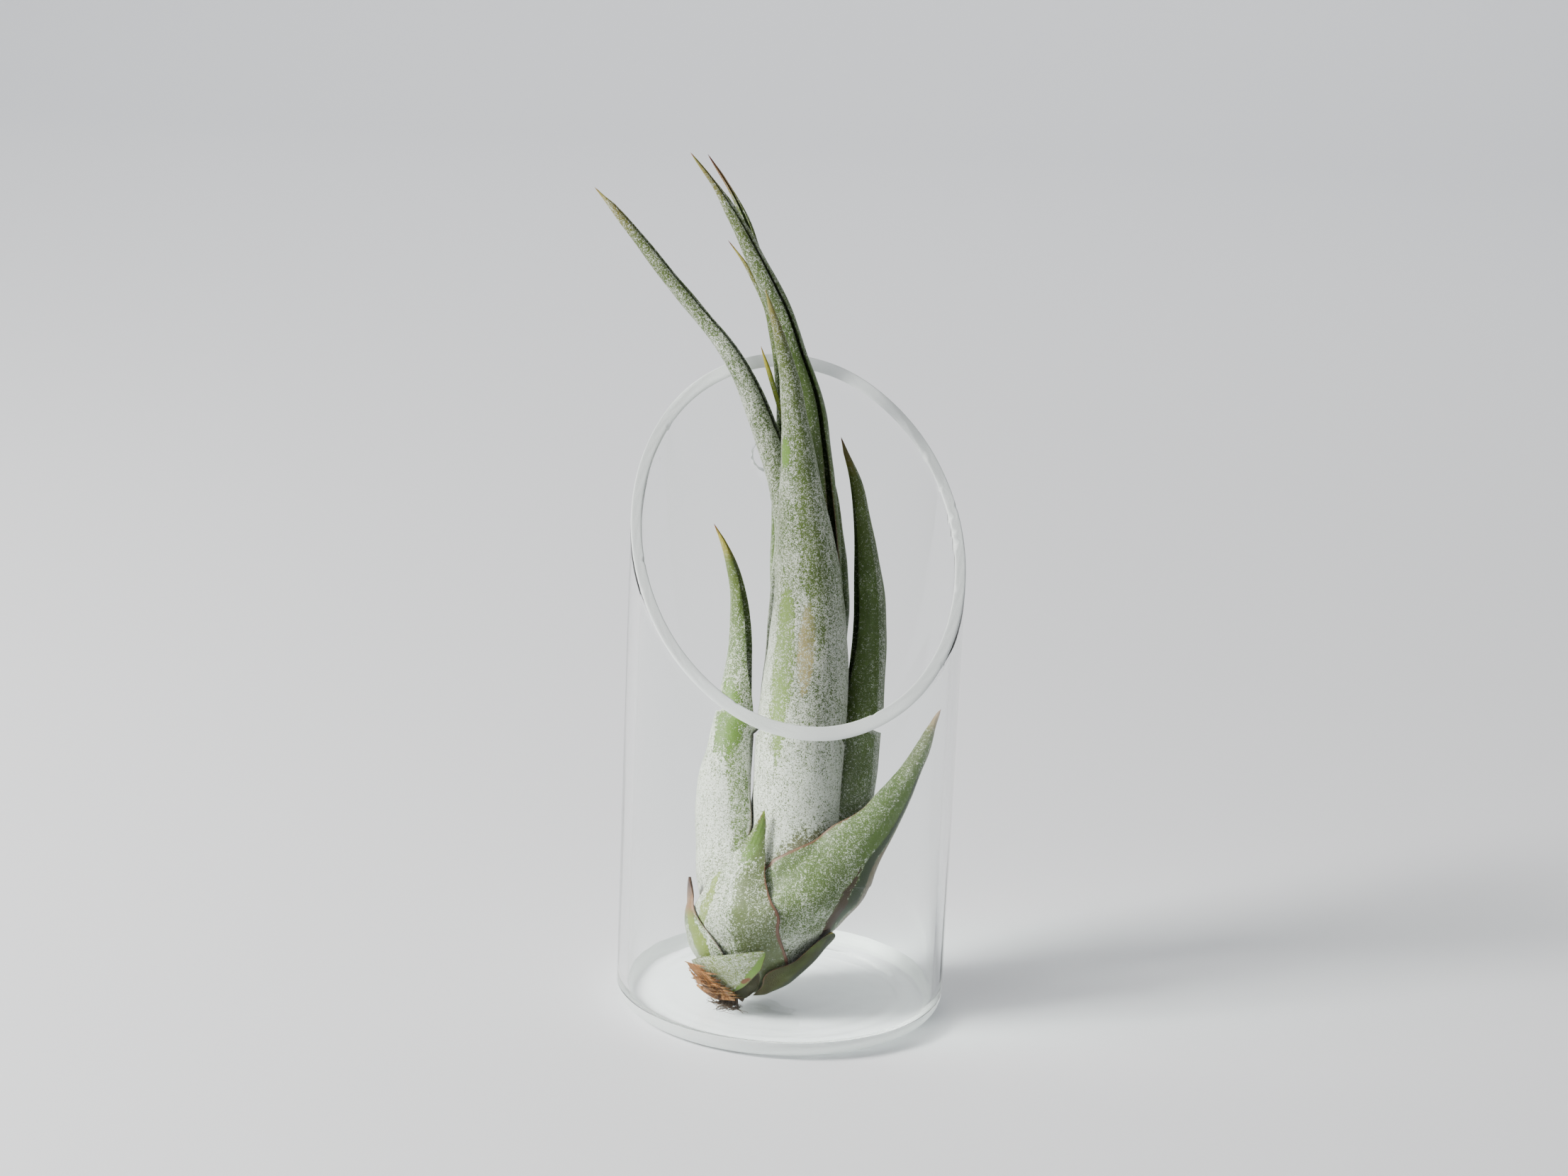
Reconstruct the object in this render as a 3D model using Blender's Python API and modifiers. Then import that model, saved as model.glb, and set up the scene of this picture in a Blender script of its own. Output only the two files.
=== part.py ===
# An air plant (a bulbous tillandsia) standing in a clear glass cylinder whose top is cut on a slant.
# Metres, +Z up, front towards -Y. The origin is the centre of the glass underside.
#
# The plant is drawn in its own leaning frame: "side" runs to the right, "height" runs up the plant and
# "front" runs towards the viewer. An azimuth is in degrees round the plant's height: 0 is right,
# 90 is back, 180 is left and -90 is front.

import math
import random

import bpy
import bmesh
import numpy as np
from mathutils import Vector

# ---- glass ----
GLASS_RADIUS = 0.0380
GLASS_WALL = 0.0025
GLASS_FLOOR = 0.0030
GLASS_FOOT_ROUND = 0.0045
GLASS_INNER_ROUND = 0.0020
GLASS_SIDES = 72
RIM_MIDDLE_HEIGHT = 0.1105
RIM_RISE = 0.0355               # how far the highest and lowest points of the rim are from its middle
RIM_TURN = math.radians(9.5)    # the high side of the rim is turned this far to the left of straight back
HOLE_RADIUS = 0.0040
HOLE_HEIGHT = 0.1223
HOLE_TURN = math.radians(12.4)
HOLE_SIDES = 32

# ---- plant frame ----
PLANT_FOOT = np.array([-0.0110, -0.0120, 0.0033])
PLANT_LEAN = math.radians(15.6)
SIDE = np.array([1.0, 0.0, 0.0])
RISE = np.array([0.0, math.sin(PLANT_LEAN), math.cos(PLANT_LEAN)])
FRONT = np.array([0.0, -math.cos(PLANT_LEAN), math.sin(PLANT_LEAN)])

# ---- bulb: the leaf bases are rolled round a curved axis, one inside another ----
# height, sideways place of the bulb's axis
BULB_AXIS = [(0.0, 0.0016), (0.0026, 0.0032), (0.0052, 0.0044), (0.0095, 0.0051), (0.0170, 0.0063),
             (0.0260, 0.0090), (0.0360, 0.0114), (0.0500, 0.0128), (0.0700, 0.0132)]
# height, outer radius of the bulb
BULB_RADIUS = [(0.0, 0.0036), (0.0013, 0.0054), (0.0026, 0.0076), (0.0052, 0.0106), (0.0095, 0.0144),
               (0.0175, 0.0194), (0.0240, 0.0222), (0.0300, 0.0234), (0.0500, 0.0250)]
LAYER_PITCH = 0.0010            # each layer is this much further in than the one outside it
LAYER_RISE = 0.0006             # and starts this much higher
CLEARANCE = 0.0006              # kept between a leaf and the inner leaf that it is draped over
OUTERMOST_FREE_LAYER = 7        # leaves further in than this stand clear by their own shape
DRAPE_MARGIN = 6.0              # degrees beyond an inner leaf's edge that are still held clear
DRAPE_FADE = 15.0

# ---- stem and roots ----
# height, radius
STEM = [(0.0022, 0.0029), (0.0029, 0.0027), (0.0036, 0.0021), (0.0080, 0.0019), (0.0140, 0.0019),
        (0.0170, 0.0017), (0.0192, 0.0011), (0.0206, 0.0005)]
STEM_RINGS = 14
ROOT_RADIUS = 0.00032
ROOT_COUNT = 9
ROOT_POINTS = 9
ROOT_START = 0.0029              # height in the stem where every root begins
ROOT_BED = GLASS_FLOOR + 0.00075     # height of a root's middle where it lies over the glass floor
ROOT_SPREAD = (math.radians(-186.0), math.radians(-62.0))
ROOT_REACH = (0.0045, 0.0080)
ROOT_CURL = 0.0009

# ---- leaves ----
# layer: 0 is the outermost. wall: thickness at the foot and at the tip. rings, across: how finely it is
# divided. turn: height above which the sections lie square to the blade instead of level.
# sheath rows: height, azimuth of the middle, half of the span in degrees.
# blade rows: side, height, front, radius, azimuth of the middle, half of the span in degrees.
SHEATH_LEAVES = [
    dict(name="scale_front", layer=0, wall=(0.0007, 0.0006), rings=11, across=9,
         sheath=[(0.0018, -157, 31), (0.0030, -151, 39), (0.0046, -144, 46), (0.0068, -140, 50),
                 (0.0088, -135, 51), (0.0100, -122, 39), (0.0114, -110, 27), (0.0124, -98, 15),
                 (0.0137, -86, 2)],
         blade=[]),
    dict(name="scale_back", layer=0, wall=(0.0007, 0.0006), rings=9, across=9,
         sheath=[(0.0030, 88, 50), (0.0050, 88, 56), (0.0080, 86, 52), (0.0110, 84, 40),
                 (0.0135, 82, 22), (0.0155, 82, 2)],
         blade=[]),
    dict(name="scale_left_dried", layer=1, wall=(0.0007, 0.0006), rings=11, across=9,
         sheath=[(0.0024, 176, 60), (0.0060, 180, 64), (0.0100, 188, 56), (0.0140, 193, 44)],
         blade=[(0.0070, 0.0190, 0.0000, 0.0178, 192, 29), (0.0077, 0.0240, 0.0004, 0.0187, 195, 16),
                (0.0085, 0.0270, 0.0008, 0.0198, 197, 7), (0.0090, 0.0290, 0.0010, 0.0206, 198, 1)]),
    dict(name="scale_under_right", layer=1, wall=(0.0007, 0.0006), rings=11, across=9,
         sheath=[(0.0024, -7, 61), (0.0050, -10, 62), (0.0075, -12, 64), (0.0090, -10, 60),
                 (0.0108, -6, 45), (0.0136, -7, 32), (0.0168, -8, 15), (0.0188, -8, 2)],
         blade=[]),
    dict(name="scale_under_front", layer=1, wall=(0.0007, 0.0006), rings=7, across=7,
         sheath=[(0.0016, -97, 21), (0.0024, -96, 21), (0.0046, -94, 17), (0.0070, -95, 14),
                 (0.0092, -96, 9), (0.0108, -97, 2)],
         blade=[]),
    dict(name="leaf_small_front", layer=2, wall=(0.0007, 0.0007), rings=15, across=11,
         sheath=[(0.0029, -120, 92), (0.0060, -119, 86), (0.0100, -118, 68), (0.0140, -118, 52),
                 (0.0180, -119, 42)],
         blade=[(0.0080, 0.0220, 0.0002, 0.0189, -119, 36), (0.0066, 0.0260, 0.0016, 0.0162, -117, 32),
                (0.0048, 0.0300, 0.0035, 0.0127, -113, 32), (0.0043, 0.0340, 0.0054, 0.0090, -104, 29),
                (0.0042, 0.0380, 0.0076, 0.0060, -92, 22), (0.0050, 0.0420, 0.0096, 0.0034, -86, 19),
                (0.0058, 0.0452, 0.0118, 0.0012, -88, 12)]),
    dict(name="leaf_lower_right", layer=3, wall=(0.0008, 0.0009), rings=22, across=13, turn=0.0280,
         sheath=[(0.0036, -35, 112), (0.0070, -35, 104), (0.0110, -36, 96), (0.0145, -37, 89)],
         blade=[(0.0071, 0.0182, 0.0002, 0.0165, -40, 88), (0.0087, 0.0215, 0.0006, 0.0176, -44, 90),
                (0.0116, 0.0243, 0.0013, 0.0169, -47, 92), (0.0142, 0.0266, 0.0019, 0.0150, -49, 93),
                (0.0158, 0.0283, 0.0022, 0.0137, -50, 94), (0.0212, 0.0340, 0.0046, 0.0110, -50, 89),
                (0.0266, 0.0392, 0.0066, 0.0080, -46, 86), (0.0310, 0.0438, 0.0076, 0.0056, -42, 90),
                (0.0345, 0.0486, 0.0080, 0.0041, -40, 104), (0.0378, 0.0538, 0.0078, 0.0028, -40, 114),
                (0.0410, 0.0600, 0.0072, 0.0018, -40, 125), (0.0434, 0.0653, 0.0066, 0.0010, -40, 135),
                (0.0453, 0.0696, 0.0060, 0.0003, -40, 140)]),
    dict(name="leaf_back", layer=4, wall=(0.0008, 0.0009), rings=16, across=9,
         sheath=[(0.0049, 92, 105), (0.0090, 92, 100), (0.0140, 92, 80), (0.0200, 92, 55)],
         blade=[(0.0110, 0.0290, -0.0064, 0.0136, 88, 46), (0.0128, 0.0410, -0.0126, 0.0088, 88, 76),
                (0.0130, 0.0530, -0.0172, 0.0056, 92, 100), (0.0134, 0.0640, -0.0202, 0.0036, 92, 114),
                (0.0138, 0.0750, -0.0222, 0.0019, 92, 126), (0.0140, 0.0830, -0.0242, 0.0003, 92, 128)]),
    dict(name="leaf_left", layer=5, wall=(0.0008, 0.0010), rings=20, across=11,
         sheath=[(0.0061, 186, 110), (0.0100, 186, 106), (0.0150, 187, 98), (0.0200, 188, 90)],
         blade=[(0.0064, 0.0260, -0.0003, 0.0150, 189, 84), (0.0032, 0.0310, -0.0008, 0.0126, 190, 84),
                (0.0002, 0.0370, -0.0014, 0.0099, 192, 92),
                (-0.0014, 0.0448, -0.0012, 0.0087, 194, 106),
                (-0.0022, 0.0510, -0.0008, 0.0076, 194, 116),
                (-0.0022, 0.0590, -0.0005, 0.0059, 192, 120),
                (-0.0016, 0.0677, -0.0005, 0.0047, 190, 114),
                (-0.0008, 0.0770, -0.0005, 0.0039, 190, 118),
                (-0.0012, 0.0860, -0.0005, 0.0029, 190, 122),
                (-0.0022, 0.0938, 0.0000, 0.0021, 190, 126),
                (-0.0042, 0.1010, 0.0008, 0.0014, 190, 130), (-0.0084, 0.1097, 0.0024, 0.0003, 190, 130)]),
    dict(name="leaf_front", layer=6, wall=(0.0008, 0.0012), rings=23, across=13,
         sheath=[(0.0076, -90, 112), (0.0100, -90, 108), (0.0150, -90, 100), (0.0200, -90, 92)],
         blade=[(0.0104, 0.0260, 0.0004, 0.0139, -90, 80), (0.0116, 0.0310, 0.0014, 0.0124, -90, 72),
                (0.0129, 0.0375, 0.0024, 0.0107, -90, 70), (0.0131, 0.0510, 0.0024, 0.0104, -90, 76),
                (0.0134, 0.0630, 0.0025, 0.0103, -90, 86), (0.0140, 0.0750, 0.0031, 0.0098, -90, 96),
                (0.0141, 0.0900, 0.0045, 0.0084, -90, 104), (0.0132, 0.1020, 0.0064, 0.0072, -90, 112),
                (0.0111, 0.1170, 0.0095, 0.0051, -92, 124), (0.0093, 0.1315, 0.0125, 0.0033, -94, 136),
                (0.0069, 0.1440, 0.0155, 0.0022, -96, 144), (0.0039, 0.1540, 0.0182, 0.0011, -98, 150),
                (0.0010, 0.1622, 0.0206, 0.0003, -98, 150)]),
    dict(name="leaf_right", layer=7, wall=(0.0008, 0.0011), rings=20, across=11,
         sheath=[(0.0090, 12, 112), (0.0120, 12, 108), (0.0170, 12, 98), (0.0220, 26, 62)],
         blade=[(0.0136, 0.0290, -0.0016, 0.0124, 32, 42), (0.0178, 0.0360, -0.0034, 0.0106, 27, 52),
                (0.0209, 0.0425, -0.0044, 0.0096, 18, 73), (0.0228, 0.0500, -0.0048, 0.0087, 12, 90),
                (0.0246, 0.0580, -0.0050, 0.0074, 12, 98), (0.0263, 0.0680, -0.0052, 0.0061, 12, 110),
                (0.0274, 0.0770, -0.0052, 0.0052, 11, 120), (0.0279, 0.0880, -0.0052, 0.0044, 10, 128),
                (0.0274, 0.0976, -0.0050, 0.0038, 10, 134), (0.0257, 0.1110, -0.0050, 0.0023, 10, 140),
                (0.0234, 0.1220, -0.0048, 0.0014, 10, 144), (0.0196, 0.1314, -0.0044, 0.0003, 10, 144)]),
    dict(name="leaf_back_thin", layer=8, wall=(0.0007, 0.0007), rings=18, across=7,
         sheath=[(0.0105, 125, 56), (0.0130, 125, 50), (0.0180, 125, 42)],
         blade=[(0.0058, 0.0240, -0.0045, 0.0062, 125, 44), (0.0048, 0.0300, -0.0092, 0.0034, 125, 62),
                (0.0050, 0.0360, -0.0118, 0.0023, 130, 90),
                (0.0064, 0.0460, -0.0134, 0.0018, 150, 116),
                (0.0068, 0.0640, -0.0138, 0.0018, 150, 124),
                (0.0068, 0.0840, -0.0138, 0.0018, 150, 134),
                (0.0065, 0.1040, -0.0124, 0.0019, 150, 140),
                (0.0062, 0.1220, -0.0100, 0.0019, 150, 146),
                (0.0061, 0.1380, -0.0070, 0.0016, 150, 150),
                (0.0047, 0.1475, -0.0056, 0.0014, 150, 154),
                (0.0032, 0.1548, -0.0050, 0.0012, 150, 156),
                (0.0015, 0.1606, -0.0045, 0.0010, 150, 156),
                (-0.0034, 0.1695, -0.0040, 0.0006, 150, 156),
                (-0.0082, 0.1760, -0.0038, 0.0003, 150, 156)]),
    dict(name="leaf_left_long", layer=9, wall=(0.0008, 0.0011), rings=24, across=9, turn=0.1220,
         sheath=[(0.0123, 176, 106), (0.0150, 176, 96), (0.0180, 176, 86)],
         blade=[(0.0080, 0.0250, -0.0010, 0.0086, 176, 74), (0.0078, 0.0330, -0.0036, 0.0076, 176, 72),
                (0.0076, 0.0460, -0.0058, 0.0050, 172, 92),
                (0.0076, 0.0620, -0.0064, 0.0044, 166, 110),
                (0.0084, 0.0800, -0.0065, 0.0041, 166, 118),
                (0.0089, 0.0970, -0.0062, 0.0039, 166, 125),
                (0.0089, 0.1090, -0.0056, 0.0036, 164, 130),
                (0.0073, 0.1176, -0.0048, 0.0035, 162, 134),
                (0.0052, 0.1244, -0.0042, 0.0033, 160, 138),
                (0.0023, 0.1317, -0.0032, 0.0031, 158, 142),
                (-0.0027, 0.1428, -0.0020, 0.0026, 154, 148),
                (-0.0072, 0.1502, -0.0018, 0.0021, 152, 152),
                (-0.0135, 0.1575, -0.0022, 0.0018, 150, 155),
                (-0.0202, 0.1648, -0.0020, 0.0018, 150, 158),
                (-0.0264, 0.1721, -0.0018, 0.0015, 150, 160),
                (-0.0328, 0.1794, -0.0016, 0.0011, 150, 160),
                (-0.0397, 0.1868, -0.0014, 0.0003, 150, 160)]),
    dict(name="leaf_tall", layer=10, wall=(0.0008, 0.0011), rings=24, across=9, turn=0.1500,
         sheath=[(0.0140, 185, 80), (0.0160, 185, 64), (0.0180, 185, 48)],
         blade=[(0.0108, 0.0260, 0.0014, 0.0067, 186, 60), (0.0140, 0.0350, 0.0008, 0.0058, 176, 84),
                (0.0154, 0.0480, -0.0002, 0.0052, 156, 104),
                (0.0158, 0.0620, -0.0002, 0.0050, 148, 115),
                (0.0168, 0.0800, 0.0002, 0.0050, 140, 128), (0.0166, 0.0960, 0.0004, 0.0050, 134, 140),
                (0.0158, 0.1060, 0.0008, 0.0050, 132, 146), (0.0144, 0.1180, 0.0016, 0.0048, 132, 150),
                (0.0130, 0.1290, 0.0028, 0.0045, 130, 154), (0.0112, 0.1395, 0.0044, 0.0040, 130, 158),
                (0.0074, 0.1504, 0.0068, 0.0033, 130, 160), (0.0047, 0.1580, 0.0088, 0.0028, 130, 160),
                (0.0014, 0.1645, 0.0110, 0.0024, 130, 160),
                (-0.0028, 0.1720, 0.0136, 0.0020, 130, 160),
                (-0.0066, 0.1784, 0.0160, 0.0015, 130, 160),
                (-0.0112, 0.1850, 0.0186, 0.0008, 130, 160), (-0.0170, 0.1920, 0.0220, 0.0003, 130, 160)]),
    dict(name="leaf_back_right", layer=11, wall=(0.0008, 0.0009), rings=15, across=9,
         sheath=[(0.0158, 28, 84), (0.0180, 28, 70)],
         blade=[(0.0138, 0.0260, -0.0034, 0.0048, 22, 56), (0.0178, 0.0350, -0.0070, 0.0042, 34, 78),
                (0.0192, 0.0500, -0.0094, 0.0037, 50, 100), (0.0194, 0.0660, -0.0102, 0.0036, 60, 120),
                (0.0198, 0.0820, -0.0106, 0.0036, 60, 130), (0.0202, 0.0940, -0.0106, 0.0033, 60, 138),
                (0.0196, 0.1060, -0.0106, 0.0025, 60, 144), (0.0184, 0.1170, -0.0106, 0.0016, 60, 144),
                (0.0164, 0.1290, -0.0106, 0.0003, 60, 144)]),
    dict(name="leaf_back_tall", layer=12, wall=(0.0008, 0.0009), rings=20, across=9,
         sheath=[(0.0177, 88, 58), (0.0190, 88, 54)],
         blade=[(0.0100, 0.0250, -0.0046, 0.0040, 92, 50), (0.0116, 0.0330, -0.0092, 0.0041, 90, 80),
                (0.0128, 0.0450, -0.0128, 0.0037, 100, 108),
                (0.0128, 0.0620, -0.0143, 0.0037, 100, 120),
                (0.0128, 0.0800, -0.0144, 0.0037, 100, 128),
                (0.0128, 0.1000, -0.0130, 0.0036, 100, 136),
                (0.0124, 0.1200, -0.0097, 0.0033, 100, 142),
                (0.0118, 0.1300, -0.0074, 0.0030, 100, 146),
                (0.0106, 0.1400, -0.0050, 0.0027, 100, 148),
                (0.0080, 0.1500, -0.0033, 0.0023, 100, 152),
                (0.0055, 0.1570, -0.0022, 0.0020, 100, 152),
                (0.0017, 0.1650, -0.0012, 0.0018, 100, 156),
                (-0.0018, 0.1730, -0.0004, 0.0014, 100, 156),
                (-0.0042, 0.1795, 0.0002, 0.0011, 100, 156),
                (-0.0076, 0.1860, 0.0010, 0.0008, 100, 156), (-0.0138, 0.1950, 0.0020, 0.0003, 100, 156)]),
    dict(name="leaf_centre_small", layer=13, wall=(0.0006, 0.0006), rings=15, across=7,
         sheath=[],
         blade=[(0.0069, 0.0190, 0.0000, 0.0020, 90, 62), (0.0082, 0.0215, -0.0016, 0.0017, 90, 66),
                (0.0106, 0.0260, -0.0046, 0.0015, 90, 80), (0.0118, 0.0330, -0.0084, 0.0014, 100, 100),
                (0.0128, 0.0450, -0.0118, 0.0013, 120, 120),
                (0.0128, 0.0640, -0.0132, 0.0013, -60, 130),
                (0.0128, 0.0840, -0.0128, 0.0013, -60, 140),
                (0.0127, 0.1000, -0.0108, 0.0012, -60, 150),
                (0.0132, 0.1080, -0.0086, 0.0010, -60, 150),
                (0.0130, 0.1130, -0.0069, 0.0009, -60, 150),
                (0.0110, 0.1200, -0.0050, 0.0009, -60, 150),
                (0.0080, 0.1300, -0.0048, 0.0008, -60, 150),
                (0.0050, 0.1382, -0.0042, 0.0006, -60, 150),
                (0.0025, 0.1456, -0.0034, 0.0005, -60, 150), (0.0002, 0.1516, -0.0030, 0.0003, -60, 150)]),
]
# flakes of the dead outermost scales, left of the bulb's foot
DRY_FLAKES = [
    dict(name="flake_1", layer=-1, wall=(0.0006, 0.0006), rings=7, across=7, sheath=[],
         blade=[(0.0030, 0.0022, 0.0, 0.0080, 206, 24), (0.0043, 0.0050, 0.0, 0.0115, 207, 23),
                (0.0048, 0.0076, 0.0, 0.0140, 206, 19), (0.0050, 0.0094, 0.0, 0.0156, 205, 12)]),
    dict(name="flake_2", layer=-1, wall=(0.0006, 0.0006), rings=7, across=7, sheath=[],
         blade=[(0.0027, 0.0018, 0.0, 0.0077, 221, 20), (0.0038, 0.0038, 0.0, 0.0105, 222, 17),
                (0.0045, 0.0060, 0.0, 0.0130, 221, 12), (0.0048, 0.0080, 0.0, 0.0150, 220, 6)]),
    dict(name="flake_3", layer=-1, wall=(0.0006, 0.0006), rings=7, across=7, sheath=[],
         blade=[(0.0032, 0.0024, 0.0, 0.0085, 185, 12), (0.0042, 0.0046, 0.0, 0.0112, 186, 12),
                (0.0046, 0.0066, 0.0, 0.0134, 187, 8), (0.0048, 0.0078, 0.0, 0.0146, 188, 3)]),
]

# name: colour, roughness, metallic
LOOKS = {
    "glass_holder": ((0.90, 0.96, 0.94), 0.03, 0.0),
    "stem_and_roots": ((0.115, 0.062, 0.035), 0.85, 0.0),
    "dry_scales": ((0.42, 0.19, 0.075), 0.70, 0.0),
    "scale_front": ((0.36, 0.40, 0.24), 0.62, 0.0),
    "scale_back": ((0.34, 0.38, 0.24), 0.62, 0.0),
    "scale_left_dried": ((0.38, 0.38, 0.26), 0.65, 0.0),
    "scale_under_right": ((0.26, 0.31, 0.15), 0.60, 0.0),
    "scale_under_front": ((0.24, 0.22, 0.10), 0.62, 0.0),
    "leaf_small_front": ((0.47, 0.53, 0.37), 0.62, 0.0),
    "leaf_lower_right": ((0.43, 0.50, 0.33), 0.62, 0.0),
    "leaf_back": ((0.38, 0.45, 0.29), 0.62, 0.0),
    "leaf_left": ((0.44, 0.51, 0.36), 0.62, 0.0),
    "leaf_front": ((0.52, 0.57, 0.45), 0.62, 0.0),
    "leaf_right": ((0.27, 0.34, 0.20), 0.62, 0.0),
    "leaf_left_long": ((0.30, 0.40, 0.22), 0.62, 0.0),
    "leaf_tall": ((0.29, 0.39, 0.26), 0.62, 0.0),
    "leaf_back_right": ((0.14, 0.20, 0.12), 0.65, 0.0),
    "leaf_back_tall": ((0.33, 0.37, 0.22), 0.62, 0.0),
    "leaf_back_thin": ((0.20, 0.30, 0.14), 0.62, 0.0),
    "leaf_centre_small": ((0.28, 0.42, 0.16), 0.62, 0.0),
}


# ---------------------------------------------------------------- scene helpers
def clear_scene():
    for thing in list(bpy.data.objects):
        bpy.data.objects.remove(thing, do_unlink=True)


def new_collection(name):
    group = bpy.data.collections.new(name)
    bpy.context.scene.collection.children.link(group)
    return group


def add_mesh(name, points, faces, group):
    mesh = bpy.data.meshes.new(name)
    mesh.from_pydata([tuple(p) for p in points], [], [tuple(f) for f in faces])
    sheet = bmesh.new()
    sheet.from_mesh(mesh)
    bmesh.ops.recalc_face_normals(sheet, faces=sheet.faces)
    sheet.to_mesh(mesh)
    sheet.free()
    thing = bpy.data.objects.new(name, mesh)
    group.objects.link(thing)
    return thing


def apply_modifiers(thing):
    bpy.context.view_layer.update()
    solid = bpy.data.meshes.new_from_object(thing.evaluated_get(bpy.context.evaluated_depsgraph_get()))
    thing.modifiers.clear()
    thing.data = solid


def move_to(thing, name, group):
    for home in list(thing.users_collection):
        home.objects.unlink(thing)
    group.objects.link(thing)
    thing.name = name
    return thing


def boolean(thing, operation, cutter=None, group=None):
    step = thing.modifiers.new(operation.lower(), "BOOLEAN")
    step.operation = operation
    step.solver = "EXACT"
    if group:
        step.operand_type = "COLLECTION"
        step.collection = group
    else:
        step.object = cutter


def fuse(thing, group):
    """Join every solid of the collection into one, then drop the loose ones."""
    boolean(thing, "UNION", group=group)
    apply_modifiers(thing)
    for spare in list(group.objects):
        bpy.data.objects.remove(spare, do_unlink=True)
    bpy.data.collections.remove(group)


def paint(thing):
    colour, roughness, metallic = LOOKS[thing.name]
    material = bpy.data.materials.new(thing.name)
    material.use_nodes = True
    shader = material.node_tree.nodes["Principled BSDF"]
    shader.inputs["Base Color"].default_value = (*colour, 1.0)
    shader.inputs["Roughness"].default_value = roughness
    shader.inputs["Metallic"].default_value = metallic
    if thing.name == "glass_holder":
        shader.inputs["Transmission Weight"].default_value = 1.0
    thing.data.materials.clear()
    thing.data.materials.append(material)


# ---------------------------------------------------------------- curves through tables
def through(table, place):
    """Values on a smooth curve through the rows of a table whose first column is the parameter."""
    rows = np.array(table, float)
    at, values = rows[:, 0], rows[:, 1:]
    place = np.clip(np.asarray(place, float), at[0], at[-1])
    step = np.diff(at)[:, None]
    rate = np.diff(values, axis=0) / step
    slope = np.vstack([rate[:1], (rate[:-1] + rate[1:]) / 2, rate[-1:]])
    i = np.clip(np.searchsorted(at, place, side="right") - 1, 0, len(at) - 2)
    s = ((place - at[i]) / step[i, 0])[..., None]
    start = values[i] * (2 * s ** 3 - 3 * s ** 2 + 1) + slope[i] * step[i] * (s ** 3 - 2 * s ** 2 + s)
    end = values[i + 1] * (3 * s ** 2 - 2 * s ** 3) + slope[i + 1] * step[i] * (s ** 3 - s ** 2)
    return start + end


def axis_side(height):
    return through(BULB_AXIS, height)[..., 0]


def layer_radius(height, layer):
    return through(BULB_RADIUS, max(height - LAYER_RISE * layer, 0.0))[0] - LAYER_PITCH * layer


def unit(vectors):
    return vectors / np.linalg.norm(vectors, axis=-1, keepdims=True)


def outward(azimuth):
    turn = np.radians(azimuth)
    return np.stack([np.cos(turn), np.zeros_like(turn), -np.sin(turn)], axis=-1)


def to_world(points):
    """Side, height and front in the plant's frame to the scene's axes."""
    return PLANT_FOOT + points @ np.array([SIDE, RISE, FRONT])


# ---------------------------------------------------------------- leaves
def leaf_table(leaf):
    """Rows: distance along the keel, keel point, section direction, radius, azimuth, half span."""
    centres, sizes, directions = [], [], []
    for height, azimuth, half in leaf["sheath"]:
        centres.append((axis_side(height), height, 0.0))
        sizes.append((layer_radius(height, leaf["layer"]), azimuth, half))
    for side, height, front, radius, azimuth, half in leaf["blade"]:
        centres.append((side, height, front))
        sizes.append((radius, azimuth, half))
    centres = np.array(centres)
    sizes = np.array(sizes, float)
    level = np.array([0.0, 1.0, 0.0])
    first = len(leaf["sheath"])
    for i, centre in enumerate(centres):
        along = level
        if i >= first:
            run = centres[min(i + 1, len(centres) - 1)] - centres[max(i - 1, first)]
            bend = np.clip((centre[1] - leaf.get("turn", 1.0)) / 0.010, 0, 1)
            bend = bend * bend * (3 - 2 * bend)
            along = unit(level * (1 - bend) + bend * unit(run))
        directions.append(along)
    directions = np.array(directions)
    radius = sizes[:, :1]
    keel = centres + radius * square_to(outward(sizes[:, 1]), directions)
    step = np.linalg.norm(np.diff(keel, axis=0), axis=1)
    step = step + 0.3 * np.abs(np.diff(sizes[:, 0])) + 0.00001 * np.abs(np.diff(sizes[:, 2]))
    distance = np.concatenate([[0.0], np.cumsum(step)])
    return np.column_stack([distance, keel, directions, sizes])


def square_to(vectors, directions):
    """The vectors with what runs along the directions taken out, at unit length."""
    return unit(vectors - (vectors * directions).sum(-1, keepdims=True) * directions)


def leaf_frames(leaf, count):
    """Evenly spread sections of a leaf, a little closer together towards its tip."""
    table = leaf_table(leaf)
    share = np.linspace(0, 1, count)
    rows = through(table, table[-1, 0] * (0.8 * share + 0.2 * np.sin(share * math.pi / 2)))
    keel, along = rows[:, :3], unit(rows[:, 3:6])
    radius, azimuth, half = rows[:, 6], rows[:, 7], rows[:, 8]
    normal = square_to(outward(azimuth), along)
    return keel, normal, np.cross(along, normal), radius, azimuth, half


def inner_shapes(leaf, leaves):
    """Centre, radius, azimuth and half span by height, of each leaf that lies inside this one."""
    shapes = []
    for other in leaves:
        if leaf["layer"] < other["layer"] and 0 <= leaf["layer"] <= OUTERMOST_FREE_LAYER:
            keel, normal, _, radius, azimuth, half = leaf_frames(other, 160)
            centre = keel - radius[:, None] * normal
            order = np.argsort(centre[:, 1])
            shapes.append(np.column_stack([centre, radius, azimuth, half])[order])
    return shapes


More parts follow.
